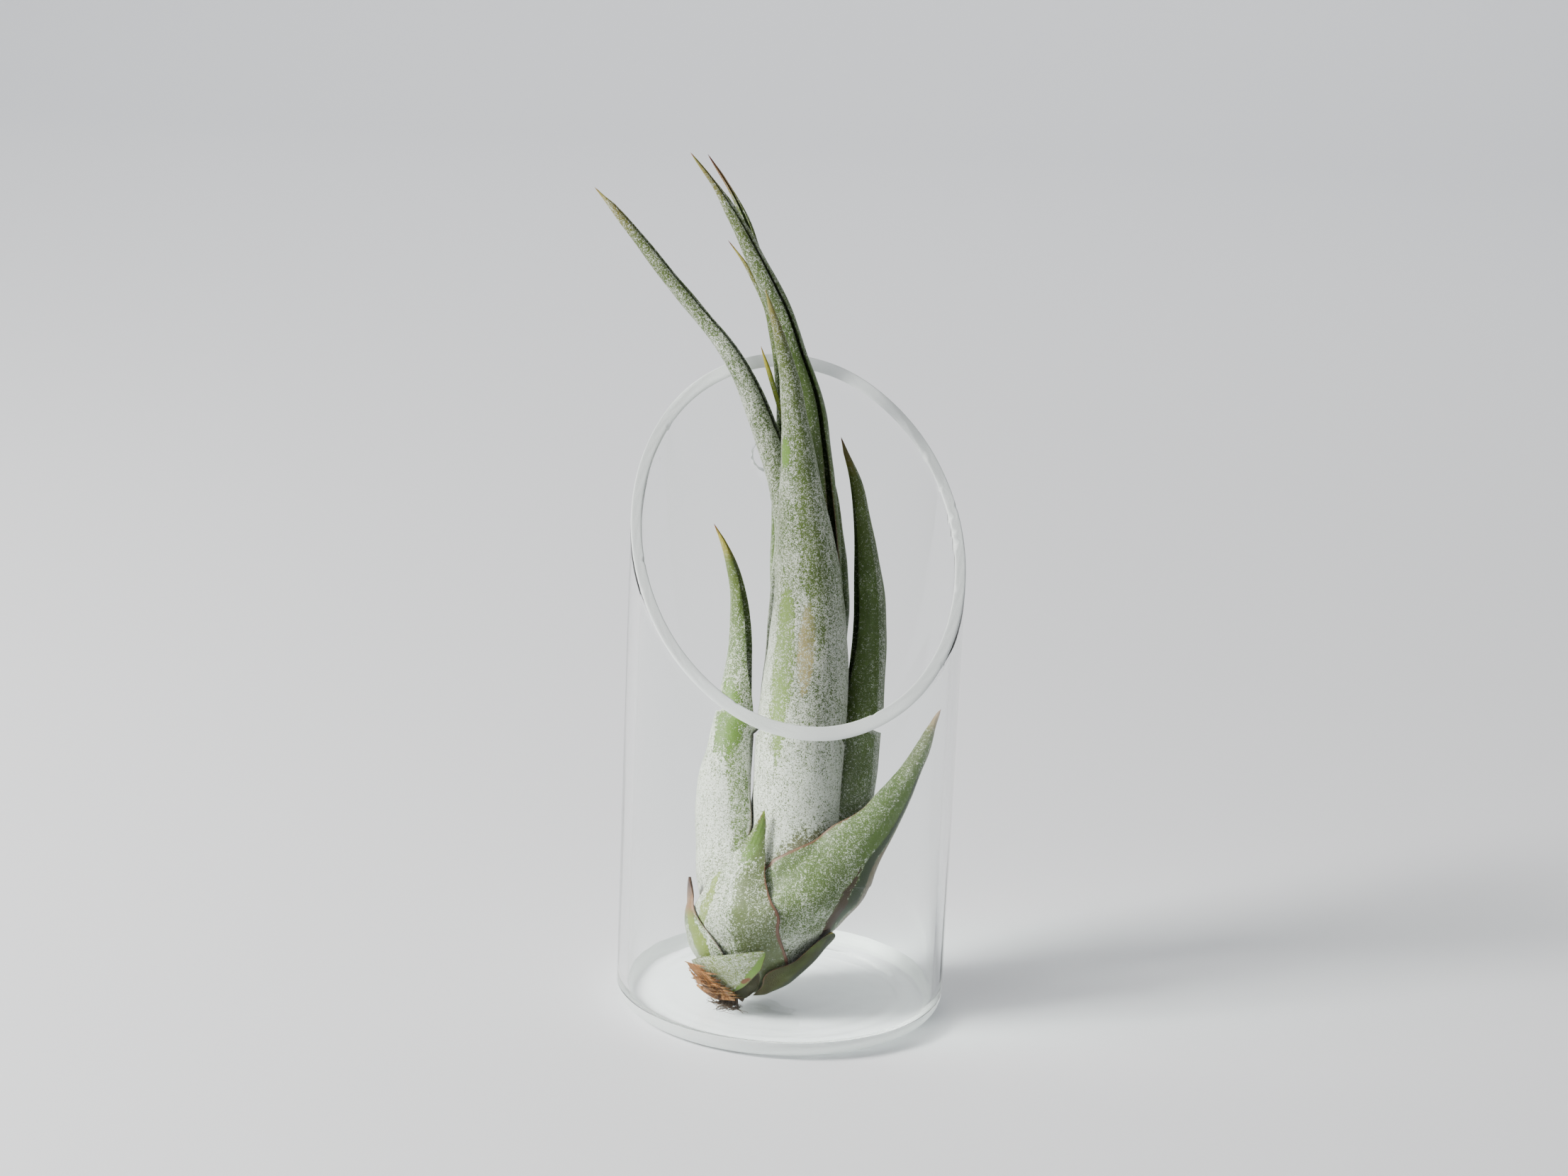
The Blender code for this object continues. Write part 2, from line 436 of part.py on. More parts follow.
def drape(points, depth, shapes):
    """Push points outward until they clear the rolled faces of the leaves inside."""
    for shape in shapes:
        height = points[..., 1]
        columns = (np.interp(height, shape[:, 1], shape[:, k]) for k in (0, 2, 3, 4, 5))
        side, front, radius, middle, half = columns
        off_side, off_front = points[..., 0] - side, points[..., 2] - front
        away = np.hypot(off_side, off_front) + 1e-9
        azimuth = np.degrees(np.arctan2(-off_front, off_side))
        beyond = np.abs((azimuth - middle + 180) % 360 - 180) - half - DRAPE_MARGIN
        fade = np.clip(beyond / DRAPE_FADE, 0, 1)
        hold = 1 - fade * fade * (3 - 2 * fade)
        hold = hold * np.clip((height - shape[0, 1]) / 0.001, 0, 1) * (height < shape[-1, 1])
        push = np.maximum(radius + CLEARANCE + depth - away, 0) * hold / away
        points = points + np.stack([off_side * push, 0 * push, off_front * push], axis=-1)
    return points


def leaf_faces(leaf, leaves):
    """The outer and inner face of a leaf as grids of points."""
    keel, normal, across, radius, _, half = leaf_frames(leaf, leaf["rings"])
    share = np.linspace(0, 1, leaf["rings"])
    foot_wall, tip_wall = leaf["wall"]
    wall = np.minimum(foot_wall + (tip_wall - foot_wall) * share, 0.85 * radius)
    spread = np.linspace(-1, 1, leaf["across"])
    angle = np.radians(half[:, None] * spread)
    thickness = wall[:, None] * (1 - 0.2 * np.abs(spread) ** 4)

    def arc(depth):
        reach = radius[:, None] - depth
        out = (reach * np.cos(angle) - radius[:, None])[..., None] * normal[:, None]
        return keel[:, None] + out + (reach * np.sin(angle))[..., None] * across[:, None]

    shapes = inner_shapes(leaf, leaves)
    return drape(arc(0 * thickness), thickness, shapes), drape(arc(thickness), 0 * thickness, shapes)


def build_leaf(leaf, leaves, group):
    """A closed solid: outer arc and inner arc of each section form a ring, and the ends are capped."""
    outer, inner = leaf_faces(leaf, leaves)
    rings = np.concatenate([outer, inner[:, ::-1]], axis=1)
    count, size = rings.shape[:2]
    faces = []
    for i in range(count - 1):
        for j in range(size):
            here, there = i * size + j, i * size + (j + 1) % size
            faces.append((here, there, there + size))
            faces.append((here, there + size, here + size))
    for base in (0, (count - 1) * size):
        for j in range(leaf["across"] - 1):
            back = base + size - 1 - j
            faces.append((base + j, base + j + 1, back - 1))
            faces.append((base + j, back - 1, back))
    return add_mesh(leaf["name"], to_world(rings.reshape(-1, 3)), faces, group)


# ---------------------------------------------------------------- stem, roots and dry flakes
def tube(name, points, radii, depth, group):
    """A round solid along a run of points: a curve with a bevel, turned into a mesh."""
    curve = bpy.data.curves.new(name, "CURVE")
    curve.dimensions = "3D"
    curve.bevel_depth = depth
    curve.bevel_resolution = 2
    curve.use_fill_caps = True
    line = curve.splines.new("POLY")
    line.points.add(len(points) - 1)
    for knot, point, radius in zip(line.points, points, radii):
        knot.co = (*point, 1.0)
        knot.radius = radius
    drawn = bpy.data.objects.new(name, curve)
    group.objects.link(drawn)
    bpy.context.view_layer.update()
    solid = bpy.data.meshes.new_from_object(drawn.evaluated_get(bpy.context.evaluated_depsgraph_get()))
    bpy.data.objects.remove(drawn, do_unlink=True)
    sheet = bmesh.new()
    sheet.from_mesh(solid)
    bmesh.ops.remove_doubles(sheet, verts=sheet.verts, dist=0.000001)
    bmesh.ops.recalc_face_normals(sheet, faces=sheet.faces)
    sheet.to_mesh(solid)
    sheet.free()
    thing = bpy.data.objects.new(name, solid)
    group.objects.link(thing)
    return thing


def root_path(share, draw):
    """A root leaves the foot of the stem, drops to the glass floor and curls outward over it."""
    heading = ROOT_SPREAD[0] + (ROOT_SPREAD[1] - ROOT_SPREAD[0]) * share + draw.uniform(-0.08, 0.08)
    ahead = np.array([math.cos(heading), math.sin(heading), 0.0])
    aside = np.array([-ahead[1], ahead[0], 0.0])
    start = to_world(np.array([[axis_side(ROOT_START), ROOT_START, 0.0008]]))[0]
    reach = draw.uniform(*ROOT_REACH)
    curl = draw.uniform(0.5, 1.0) * ROOT_CURL * draw.choice((-1, 1))
    phase = draw.uniform(0, math.pi)
    points = []
    for i in range(ROOT_POINTS):
        t = i / (ROOT_POINTS - 1)
        place = start + ahead * (0.0008 + reach * t) + aside * curl * math.sin(phase + 5.0 * t) * t * 2
        drop = min(t / 0.22, 1.0)
        place[2] = start[2] * (1 - drop) + (ROOT_BED + 0.00012 * (1 + math.sin(9 * t + phase))) * drop
        points.append(place)
    return points


def build_stem(group):
    heights = np.linspace(STEM[0][0], STEM[-1][0], STEM_RINGS)
    middle = np.column_stack([axis_side(heights), heights, 0 * heights])
    radii = through(STEM, heights)[:, 0]
    widest = radii.max()
    stem = tube("stem_and_roots", to_world(middle), radii / widest, widest, group)
    strands = new_collection("root strands")
    draw = random.Random(7)
    for k in range(ROOT_COUNT):
        points = root_path((k + 0.5) / ROOT_COUNT, draw)
        tube(f"root_{k + 1}", points, np.linspace(1.15, 0.95, ROOT_POINTS), ROOT_RADIUS, strands)
    fuse(stem, strands)
    return stem


def build_dry_scales(group):
    whole = build_leaf(dict(DRY_FLAKES[0], name="dry_scales"), [], group)
    flakes = new_collection("loose flakes")
    for flake in DRY_FLAKES[1:]:
        build_leaf(flake, [], flakes)
    fuse(whole, flakes)
    return whole


# ---------------------------------------------------------------- glass
def round_corner(centre, radius, start, end, steps):
    points = []
    for i in range(steps + 1):
        turn = math.radians(start + (end - start) * i / steps)
        points.append((centre[0] + radius * math.cos(turn), centre[1] + radius * math.sin(turn)))
    return points


def glass_profile():
    """Half section of the cup, from the middle of its underside round to the middle of its floor."""
    top = RIM_MIDDLE_HEIGHT + RIM_RISE + 0.01
    inside = GLASS_RADIUS - GLASS_WALL
    foot = (GLASS_RADIUS - GLASS_FOOT_ROUND, GLASS_FOOT_ROUND)
    corner = (inside - GLASS_INNER_ROUND, GLASS_FLOOR + GLASS_INNER_ROUND)
    profile = [(0.0, 0.0)] + round_corner(foot, GLASS_FOOT_ROUND, -90, 0, 4)
    profile += [(GLASS_RADIUS, top), (inside, top)]
    profile += round_corner(corner, GLASS_INNER_ROUND, 0, -90, 3) + [(0.0, GLASS_FLOOR)]
    return profile


def build_glass(group, cutters):
    profile = glass_profile()
    edges = [(i, i + 1) for i in range(len(profile) - 1)]
    mesh = bpy.data.meshes.new("glass_holder")
    mesh.from_pydata([(radius, 0.0, height) for radius, height in profile], edges, [])
    glass = bpy.data.objects.new("glass_holder", mesh)
    group.objects.link(glass)
    spin = glass.modifiers.new("spin", "SCREW")
    spin.axis = "Z"
    spin.steps = GLASS_SIDES
    spin.render_steps = GLASS_SIDES
    spin.use_merge_vertices = True
    spin.merge_threshold = 0.00005
    spin.use_normal_calculate = True

    tilt = math.atan2(RIM_RISE, GLASS_RADIUS)
    span = 4 * GLASS_RADIUS
    up = Vector((math.sin(RIM_TURN) * math.sin(tilt), -math.cos(RIM_TURN) * math.sin(tilt), math.cos(tilt)))
    bpy.ops.mesh.primitive_cube_add(size=span, location=up * span / 2 + Vector((0, 0, RIM_MIDDLE_HEIGHT)),
                                    rotation=(tilt, 0.0, RIM_TURN))
    slant = move_to(bpy.context.object, "slant_cutter", cutters)

    back = Vector((-math.sin(HOLE_TURN), math.cos(HOLE_TURN), 0.0))
    bpy.ops.mesh.primitive_cylinder_add(vertices=HOLE_SIDES, radius=HOLE_RADIUS, depth=6 * GLASS_WALL,
                                        location=back * GLASS_RADIUS + Vector((0, 0, HOLE_HEIGHT)),
                                        rotation=(math.pi / 2, 0.0, HOLE_TURN))
    nail = move_to(bpy.context.object, "nail_hole_cutter", cutters)

    for cutter in (slant, nail):
        cutter.hide_render = True
        cutter.display_type = "WIRE"
        boolean(glass, "DIFFERENCE", cutter)
    apply_modifiers(glass)
    return glass


# ---------------------------------------------------------------- the whole object
def build():
    clear_scene()
    group = new_collection("air_plant_in_glass")
    cutters = new_collection("cutters")
    parts = [build_glass(group, cutters), build_stem(group), build_dry_scales(group)]
    parts += [build_leaf(leaf, SHEATH_LEAVES, group) for leaf in SHEATH_LEAVES]
    for part in parts:
        paint(part)


build()
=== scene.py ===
import math

import bpy
import numpy as np
from mathutils import Matrix


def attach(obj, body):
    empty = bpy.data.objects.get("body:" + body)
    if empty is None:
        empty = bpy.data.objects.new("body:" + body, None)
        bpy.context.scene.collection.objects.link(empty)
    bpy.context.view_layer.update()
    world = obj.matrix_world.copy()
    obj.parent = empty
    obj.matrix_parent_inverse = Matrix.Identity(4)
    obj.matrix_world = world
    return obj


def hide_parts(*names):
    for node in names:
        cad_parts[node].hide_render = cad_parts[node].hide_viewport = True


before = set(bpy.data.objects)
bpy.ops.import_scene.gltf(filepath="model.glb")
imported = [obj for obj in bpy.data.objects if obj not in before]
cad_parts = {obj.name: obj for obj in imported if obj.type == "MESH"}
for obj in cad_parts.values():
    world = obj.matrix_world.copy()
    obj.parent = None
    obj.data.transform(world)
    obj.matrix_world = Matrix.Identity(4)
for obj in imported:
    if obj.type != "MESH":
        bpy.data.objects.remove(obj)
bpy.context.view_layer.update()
print("scene: frame loaded")

# metres, +Z up, front towards -Y; a plant point is (side, height, front) in the leaning plant's own frame
plant = dict(foot=(-0.011, -0.012, 0.0033), lean=15.6)
lean = math.radians(plant["lean"])
plantFoot = np.array(plant["foot"])
plantAxes = np.array([[1, 0, 0], [0, math.sin(lean), math.cos(lean)], [0, -math.cos(lean), math.sin(lean)]])

glass = dict(
    radius=0.038, wall=0.0025, floor=0.003, footRound=0.0045, innerRound=0.002,
    rimMiddle=0.1105, rimRise=0.0355, rimTurn=9.5, rimBevel=0.0003,
    holeRadius=0.004, holeHeight=0.1223, holeTurn=12.4, holeChips=0.00045,
    ripples=[(0.0285, 0.0035, 1.0), (0.017, 0.004, 0.35)], rippleHeight=0.00014, rippleStep=0.0009,
)

camera = dict(
    target=(-0.0029, 0.0, 0.09895), distance=0.7, elevation=14.4, roll=2.5, lens=71.02, sensor=36.0,
)


# the foot, plus each plant coordinate along its own axis
def toWorld(points):
    return plantFoot + points @ plantAxes


# camera at the wanted angle; lights that stand where soft daylight would
def addCamera():
    rise, roll = math.radians(camera["elevation"]), math.radians(camera["roll"])
    back = np.array([0.0, -math.cos(rise), math.sin(rise)])
    right, up = np.array([1.0, 0.0, 0.0]), np.array([0.0, math.sin(rise), math.cos(rise)])
    across = right * math.cos(roll) + up * math.sin(roll)
    above = up * math.cos(roll) - right * math.sin(roll)
    place = np.array(camera["target"]) + back * camera["distance"]
    data = bpy.data.cameras.new("camera")
    data.lens, data.sensor_width = camera["lens"], camera["sensor"]
    data.clip_start, data.clip_end = 0.02, 20.0
    data.dof.use_dof = False
    view = bpy.data.objects.new("camera", data)
    axes = np.column_stack([across, above, back, place])
    view.matrix_world = Matrix([*axes.tolist(), [0, 0, 0, 1]])
    bpy.context.scene.collection.objects.link(view)
    bpy.context.scene.camera = view


# soft rectangular lamp, its face square to the line to what it is aimed at
def addLight(name, place, size, power, colour=(1, 1, 1), aim=(0, 0, 0.09)):
    data = bpy.data.lights.new(name, "AREA")
    data.shape, data.size, data.size_y = "RECTANGLE", size[0], size[1]
    data.energy, data.color = power, colour
    lamp = bpy.data.objects.new(name, data)
    ahead = np.array(aim) - np.array(place)
    back = -ahead / np.linalg.norm(ahead)
    side = np.cross([0, 0, 1.0], back)
    side /= np.linalg.norm(side)
    above = np.cross(back, side)
    axes = np.column_stack([side, above, back, place])
    lamp.matrix_world = Matrix([*axes.tolist(), [0, 0, 0, 1]])
    bpy.context.scene.collection.objects.link(lamp)


addCamera()
addLight("key", (-1.15, -0.35, 0.85), (0.4, 0.4), 43.0, (1.0, 0.985, 0.96))
addLight("fill", (0.5, -1.2, 0.6), (0.6, 0.6), 2.0, (0.95, 0.97, 1.0))
addLight("back", (0.3, 0.9, 1.1), (1.4, 0.6), 6.0)
addLight("wall", (0.0, 1.4, 1.6), (2.5, 0.8), 30.0, (0.97, 0.98, 1.0), (0.0, 3.0, 0.5))
world = bpy.data.worlds.new("studio")
bpy.context.scene.world = world
world.use_nodes = True
world.node_tree.nodes["Background"].inputs["Color"].default_value = (0.80, 0.83, 0.87, 1)
world.node_tree.nodes["Background"].inputs["Strength"].default_value = 0.28
print("scene: camera and lights")


# shader maths: a Wire stands for a socket, and an expression on Wires adds its Math nodes
class Wire:
    def __init__(self, net, socket):
        self.net, self.socket = net, socket

    def __add__(self, other):
        return self.net.maths("ADD", self, other)

    def __radd__(self, other):
        return self.net.maths("ADD", other, self)

    def __sub__(self, other):
        return self.net.maths("SUBTRACT", self, other)

    def __rsub__(self, other):
        return self.net.maths("SUBTRACT", other, self)

    def __mul__(self, other):
        return self.net.maths("MULTIPLY", self, other)

    def __rmul__(self, other):
        return self.net.maths("MULTIPLY", other, self)

    def __truediv__(self, other):
        return self.net.maths("DIVIDE", self, other)

    def also(self, output):
        return Wire(self.net, self.socket.node.outputs[output])


class Net:
    def __init__(self, name):
        self.material = bpy.data.materials.new(name)
        self.material.use_nodes = True
        self.tree = self.material.node_tree
        self.tree.nodes.clear()

    def put(self, kind, settings, values, output=0):
        node = self.tree.nodes.new(kind)
        for key, value in settings.items():
            if key == "stops":
                ramp = node.color_ramp
                while len(ramp.elements) < len(value):
                    ramp.elements.new(1.0)
                for element, (at, colour) in zip(ramp.elements, value):
                    element.position = at
                    grey = not isinstance(colour, tuple)
                    element.color = (colour, colour, colour, 1) if grey else (*colour, 1)
            else:
                setattr(node, key, value)
        for key, value in values.items():
            if isinstance(value, Wire):
                self.tree.links.new(value.socket, node.inputs[key])
            else:
                node.inputs[key].default_value = value
        return Wire(self, node.outputs[output]) if node.outputs else node

    def maths(self, operation, first, second=0.0):
        return self.put("ShaderNodeMath", {"operation": operation}, {0: first, 1: second})

    def clamp(self, value):
        return self.put("ShaderNodeMath", {"operation": "ADD", "use_clamp": True}, {0: value, 1: 0.0})

    def smooth(self, value, low, high):
        return self.put("ShaderNodeMapRange", {"interpolation_type": "SMOOTHSTEP"},
                        {"Value": value, "From Min": low, "From Max": high})

    def ramp(self, value, stops):
        return self.put("ShaderNodeValToRGB", {"stops": stops}, {"Fac": value})

    def colour(self, value):
        return (*value, 1.0)

    def blend(self, factor, first, second, how="MIX"):
        ends = [v if isinstance(v, Wire) else self.colour(v) for v in (first, second)]
        return self.put("ShaderNodeMix", {"data_type": "RGBA", "blend_type": how},
                        {0: factor, 6: ends[0], 7: ends[1]}, 2)

    def noise(self, vector, scale, detail=2.0, rough=0.5):
        return self.put("ShaderNodeTexNoise", {},
                        {"Vector": vector, "Scale": scale, "Detail": detail, "Roughness": rough})

    def place(self):
        return self.put("ShaderNodeTexCoord", {}, {}, "Object")

    def shader(self, values):
        return self.put("ShaderNodeBsdfPrincipled", {}, values)

    def finish(self, surface):
        self.put("ShaderNodeOutputMaterial", {}, {"Surface": surface})
        return self.material


# quads of a grid of points, row by row, joined round if it wraps
def gridFaces(rows, columns, start=0, wrap=True):
    i = np.arange(rows - 1)[:, None]
    j = np.arange(columns if wrap else columns - 1)[None]
    a, b = start + i * columns + j, start + i * columns + (j + 1) % columns
    return np.stack([a, b, b + columns, a + columns], axis=-1).reshape(-1, 4)


# points and faces as an object, its faces turned about if the signed volume that they close is negative
def makeObject(name, points, quads, triangles, materials, slots=None, attributes=None):
    mesh = bpy.data.meshes.new(name)
    faces = [tuple(f) for f in quads.tolist()] + [tuple(f) for f in triangles.tolist()]
    corner, tri = points[quads], points[triangles].reshape(-1, 3, 3)
    volume = np.einsum("ij,ij->", corner[:, 0], np.cross(corner[:, 1], corner[:, 2]))
    volume += np.einsum("ij,ij->", corner[:, 0], np.cross(corner[:, 2], corner[:, 3]))
    volume += np.einsum("ij,ij->", tri[:, 0], np.cross(tri[:, 1], tri[:, 2]))
    if volume < 0:
        faces = [f[::-1] for f in faces]
    mesh.from_pydata(points, [], faces)
    for material in materials:
        mesh.materials.append(material)
    if slots is not None:
        mesh.polygons.foreach_set("material_index", slots)
    mesh.polygons.foreach_set("use_smooth", np.ones(len(faces), bool))
    for title, values in (attributes or {}).items():
        mesh.attributes.new(title, "FLOAT_VECTOR", "POINT").data.foreach_set("vector", values.ravel())
    thing = bpy.data.objects.new(name, mesh)
    bpy.context.scene.collection.objects.link(thing)
    return thing


noTriangles = np.zeros((0, 3), int)


# every piece stands on the one body, in the place of its solid
def dress(piece, node):
    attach(piece, "root")
    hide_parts(node)
    return piece


# smooth curve through the rows of a table whose first column is the parameter (cubic Hermite, mean slopes)
def through(table, place):
    rows = np.array(table, float)
    at, values = rows[:, 0], rows[:, 1:]
    place = np.clip(np.asarray(place, float), at[0], at[-1])
    step = np.diff(at)[:, None]
    rate = np.diff(values, axis=0) / step
    slope = np.vstack([rate[:1], (rate[:-1] + rate[1:]) / 2, rate[-1:]])
    i = np.clip(np.searchsorted(at, place, side="right") - 1, 0, len(at) - 2)
    s = ((place - at[i]) / step[i, 0])[..., None]
    begin = values[i] * (2 * s ** 3 - 3 * s ** 2 + 1) + slope[i] * step[i] * (s ** 3 - 2 * s ** 2 + s)
    return begin + values[i + 1] * (3 * s ** 2 - 2 * s ** 3) + slope[i + 1] * step[i] * (s ** 3 - s ** 2)


# vectors divided by their length
def unit(vectors):
    return vectors / np.maximum(np.linalg.norm(vectors, axis=-1, keepdims=True), 1e-12)


# vectors less their part along unit directions, made one long
def squareTo(vectors, directions):
    return unit(vectors - (vectors * directions).sum(-1, keepdims=True) * directions)


# level direction at an azimuth: cosine to the side, minus sine to the front
def outward(azimuth):
    turn = np.radians(azimuth)
    return np.stack([np.cos(turn), np.zeros_like(turn), -np.sin(turn)], axis=-1)


# the bulb: leaf bases rolled round a curved axis, one layer inside another
bulb = dict(
    axis=[(0, 0.0016), (0.0026, 0.0032), (0.0052, 0.0044), (0.0095, 0.0051), (0.017, 0.0063),
          (0.026, 0.009), (0.036, 0.0114), (0.05, 0.0128), (0.07, 0.0132)],
    radius=[(0, 0.0036), (0.0013, 0.0054), (0.0026, 0.0076), (0.0052, 0.0106), (0.0095, 0.0144),
            (0.0175, 0.0194), (0.024, 0.0222), (0.03, 0.0234), (0.05, 0.025)],
    pitch=0.001, rise=0.0006, clearance=0.0004, drapedLayers=7, margin=6.0, fade=15.0,
)


# sideways place of the bulb's axis at a height
def axisSide(height):
    return through(bulb["axis"], height)[..., 0]


# distance, keel, section direction, radius, azimuth and half span for each station of a leaf
def leafTable(leaf):
    centres = [(axisSide(h), h, 0.0) for h, _, _ in leaf["sheath"]] + [row[:3] for row in leaf["blade"]]
    first = len(leaf["sheath"])
    sizes = []
    for height, azimuth, half in leaf["sheath"]:
        inside = max(height - bulb["rise"] * leaf["layer"], 0.0)
        radius = through(bulb["radius"], inside)[0] - bulb["pitch"] * leaf["layer"]
        sizes.append((radius, azimuth, half))
    centres, sizes = np.array(centres, float), np.array(sizes + [row[3:] for row in leaf["blade"]], float)
    level = np.array([0.0, 1.0, 0.0])
    directions = np.tile(level, (len(centres), 1))
    for i in range(first, len(centres)):
        run = unit(centres[min(i + 1, len(centres) - 1)] - centres[max(i - 1, first)])
        bend = np.clip((centres[i, 1] - leaf.get("turn", 1.0)) / 0.010, 0, 1)
        bend = bend * bend * (3 - 2 * bend)
        directions[i] = unit(level * (1 - bend) + bend * run)
    keel = centres + sizes[:, :1] * squareTo(outward(sizes[:, 1]), directions)
    step = np.linalg.norm(np.diff(keel, axis=0), axis=1)
    step = step + 0.3 * np.abs(np.diff(sizes[:, 0])) + 0.00001 * np.abs(np.diff(sizes[:, 2]))
    return np.column_stack([np.concatenate([[0.0], np.cumsum(step)]), keel, directions, sizes])


# that table at evenly spaced stations, closer near the tip, with the outward and sideways directions
def leafFrames(leaf, count):
    table = leafTable(leaf)
    share = np.linspace(0, 1, count)
    share = 0.8 * share + 0.2 * np.sin(share * math.pi / 2)
    rows = through(table, table[-1, 0] * share)
    along = unit(rows[:, 3:6])
    normal = squareTo(outward(rows[:, 7]), along)
    across = np.cross(along, normal)
    return share, table[-1, 0], rows[:, :3], normal, across, rows[:, 6], rows[:, 7], rows[:, 8]


# for each leaf rolled inside this one: axis point, radius, azimuth and half span, in order of height
def innerShapes(leaf):
    shapes = []
    for other in leaves.values():
        if leaf["layer"] < other["layer"] and 0 <= leaf["layer"] <= bulb["drapedLayers"]:
            _, _, keel, normal, _, radius, azimuth, half = leafFrames(other, 160)
            shape = np.column_stack([keel - radius[:, None] * normal, radius, azimuth, half])
            shapes.append(shape[np.argsort(shape[:, 1])])
    return shapes


# push points away from the axis of each inner leaf until they clear its rolled face
def drape(points, depth, shapes):
    for shape in shapes:
        height = points[..., 1]
        side, front, radius, middle, half = (
            np.interp(height, shape[:, 1], shape[:, k]) for k in (0, 2, 3, 4, 5))
        offSide, offFront = points[..., 0] - side, points[..., 2] - front
        away = np.hypot(offSide, offFront) + 1e-9
        beyond = np.abs((np.degrees(np.arctan2(-offFront, offSide)) - middle + 180) % 360 - 180) - half
        fade = np.clip((beyond - bulb["margin"]) / bulb["fade"], 0, 1)
        hold = (1 - fade * fade * (3 - 2 * fade)) * np.clip((height - shape[0, 1]) / 0.001, 0, 1)
        hold = hold * (height < shape[-1, 1])
        push = np.maximum(radius + bulb["clearance"] + depth - away, 0) * hold / away
        points = points + np.stack([offSide * push, 0 * push, offFront * push], axis=-1)
    return points


# fine relief of a leaf's outer face: low swellings, and veins that run along it
def relief(leaf, reach, arc, seed):
    a, b, c = seed * 1.7, seed * 2.3, seed * 0.9
    swell = np.sin(reach / 0.0021 + 1.4 * np.sin(arc / 0.0017 + a) + b)
    swell = swell + np.sin(reach / 0.0047 + arc / 0.003 + c)
    veins = np.sin(arc / 0.00016 + 0.8 * np.sin(reach / 0.004 + a))
    veins = veins * (0.6 + 0.4 * np.sin(reach / 0.006 + b))
    height = leaf.get("swell", 0.00006) * swell + leaf.get("veins", 0.000025) * veins
    for dent in leaf.get("dents", []):
        down, beside = (reach - dent["reach"]) / dent["long"], (arc - dent["arc"]) / dent["wide"]
        window = np.exp(-down ** 2 - beside ** 2)
        folds = np.sin((reach + 0.35 * arc) / dent["fold"] + 2.2 * np.sin(arc / 0.0021) + a)
        height = height + dent["depth"] * window * (folds - 0.6)
    return height


# a leaf is one closed tube of sections: its outer arc and, a wall's depth inside, its inner arc
def buildLeaf(name, node, leaf, seed, skin):
    count, columns = leaf["rows"], leaf["columns"]
    share, length, keel, normal, across, radius, _, half = leafFrames(leaf, count)
    tip = np.clip((1 - share) / leaf.get("tipShare", 0.03), 0, 1)
    radius = radius * (0.12 + 0.88 * np.sqrt(tip))
    torn = np.sin(share * 31 + seed) + np.sin(share * 53 + 2 * seed) + 0.6 * np.sin(share * 97 + 3 * seed)
    half = half * (1 + leaf.get("jag", 0.0) * torn * np.clip(share * 3, 0, 1))
    wall = np.minimum(leaf["wall"][0] + (leaf["wall"][1] - leaf["wall"][0]) * share, 0.85 * radius)
    spread = np.sin(np.linspace(-1, 1, columns) * 1.35) / math.sin(1.35)
    angle = np.radians(half[:, None] * spread)
    thin = wall[:, None] * (1 - 0.75 * np.abs(spread) ** 10)
    low, high, wider, deeper = leaf.get("tuck", (0, 0, 0, 0))
    under = np.exp(-((share - (low + high) / 2) / (high - low + 1e-9) * 1.6) ** 4)[:, None]
    under = under * np.clip(-spread * 2 - 1, 0, 1)[None] ** 1.5
    angle = angle - np.radians(wider) * under
    sink = deeper * under
    reach, arc = share[:, None] * length + 0 * angle, angle * radius[:, None]
    fade = np.minimum(1, (1 - np.abs(spread)) * 8) * np.minimum(1, tip[:, None])
    raised = np.clip(relief(leaf, reach, arc, seed) * fade, -0.5 * thin, 0.0004)

    def arcAt(depth):
        out = (radius[:, None] - sink - depth) * np.cos(angle) - radius[:, None]
        points = keel[:, None] + out[..., None] * normal[:, None]
        return points + ((radius[:, None] - sink - depth) * np.sin(angle))[..., None] * across[:, None]

    shapes = innerShapes(leaf)
    outer, inner = drape(arcAt(-raised), thin + raised, shapes), drape(arcAt(thin), 0 * thin, shapes)
    points = toWorld(np.concatenate([outer, inner[:, ::-1]], axis=1).reshape(-1, 3))
    place = np.stack([share[:, None] + 0 * angle, np.broadcast_to(spread, angle.shape), 0 * angle], axis=-1)
    place = np.concatenate([place, (place + [0, 0, 1])[:, ::-1]], axis=1).reshape(-1, 3)
    cover = np.interp(share, *np.array(leaf.get("look", {}).get("cover", [(0, 0), (1, 0)])).T)
    span = np.stack([reach, arc, cover[:, None] + 0 * arc], axis=-1)
    span = np.concatenate([span, span[:, ::-1]], axis=1).reshape(-1, 3)
    size = 2 * columns
    j = np.arange(columns - 1)
    cap = np.stack([j, j + 1, size - 2 - j, size - 1 - j], axis=-1)
    caps = [cap[:, ::-1], cap + (count - 1) * size]
    quads = np.concatenate([gridFaces(count, size)] + caps)
    marks = dict(place=place, span=span)
    return dress(makeObject(name, points, quads, noTriangles, [skin], attributes=marks), node)


greenFlesh = [(0.0, (0.13, 0.12, 0.05)), (0.1, (0.085, 0.11, 0.034)), (0.35, (0.078, 0.12, 0.03)),
              (0.75, (0.07, 0.12, 0.026)), (0.92, (0.09, 0.125, 0.026)), (1.0, (0.262, 0.194, 0.045))]
scurf, scurfDark = (0.69, 0.72, 0.66), (0.25, 0.29, 0.17)

tipYellow, tipBrown = (0.30, 0.27, 0.05), (0.13, 0.035, 0.012)


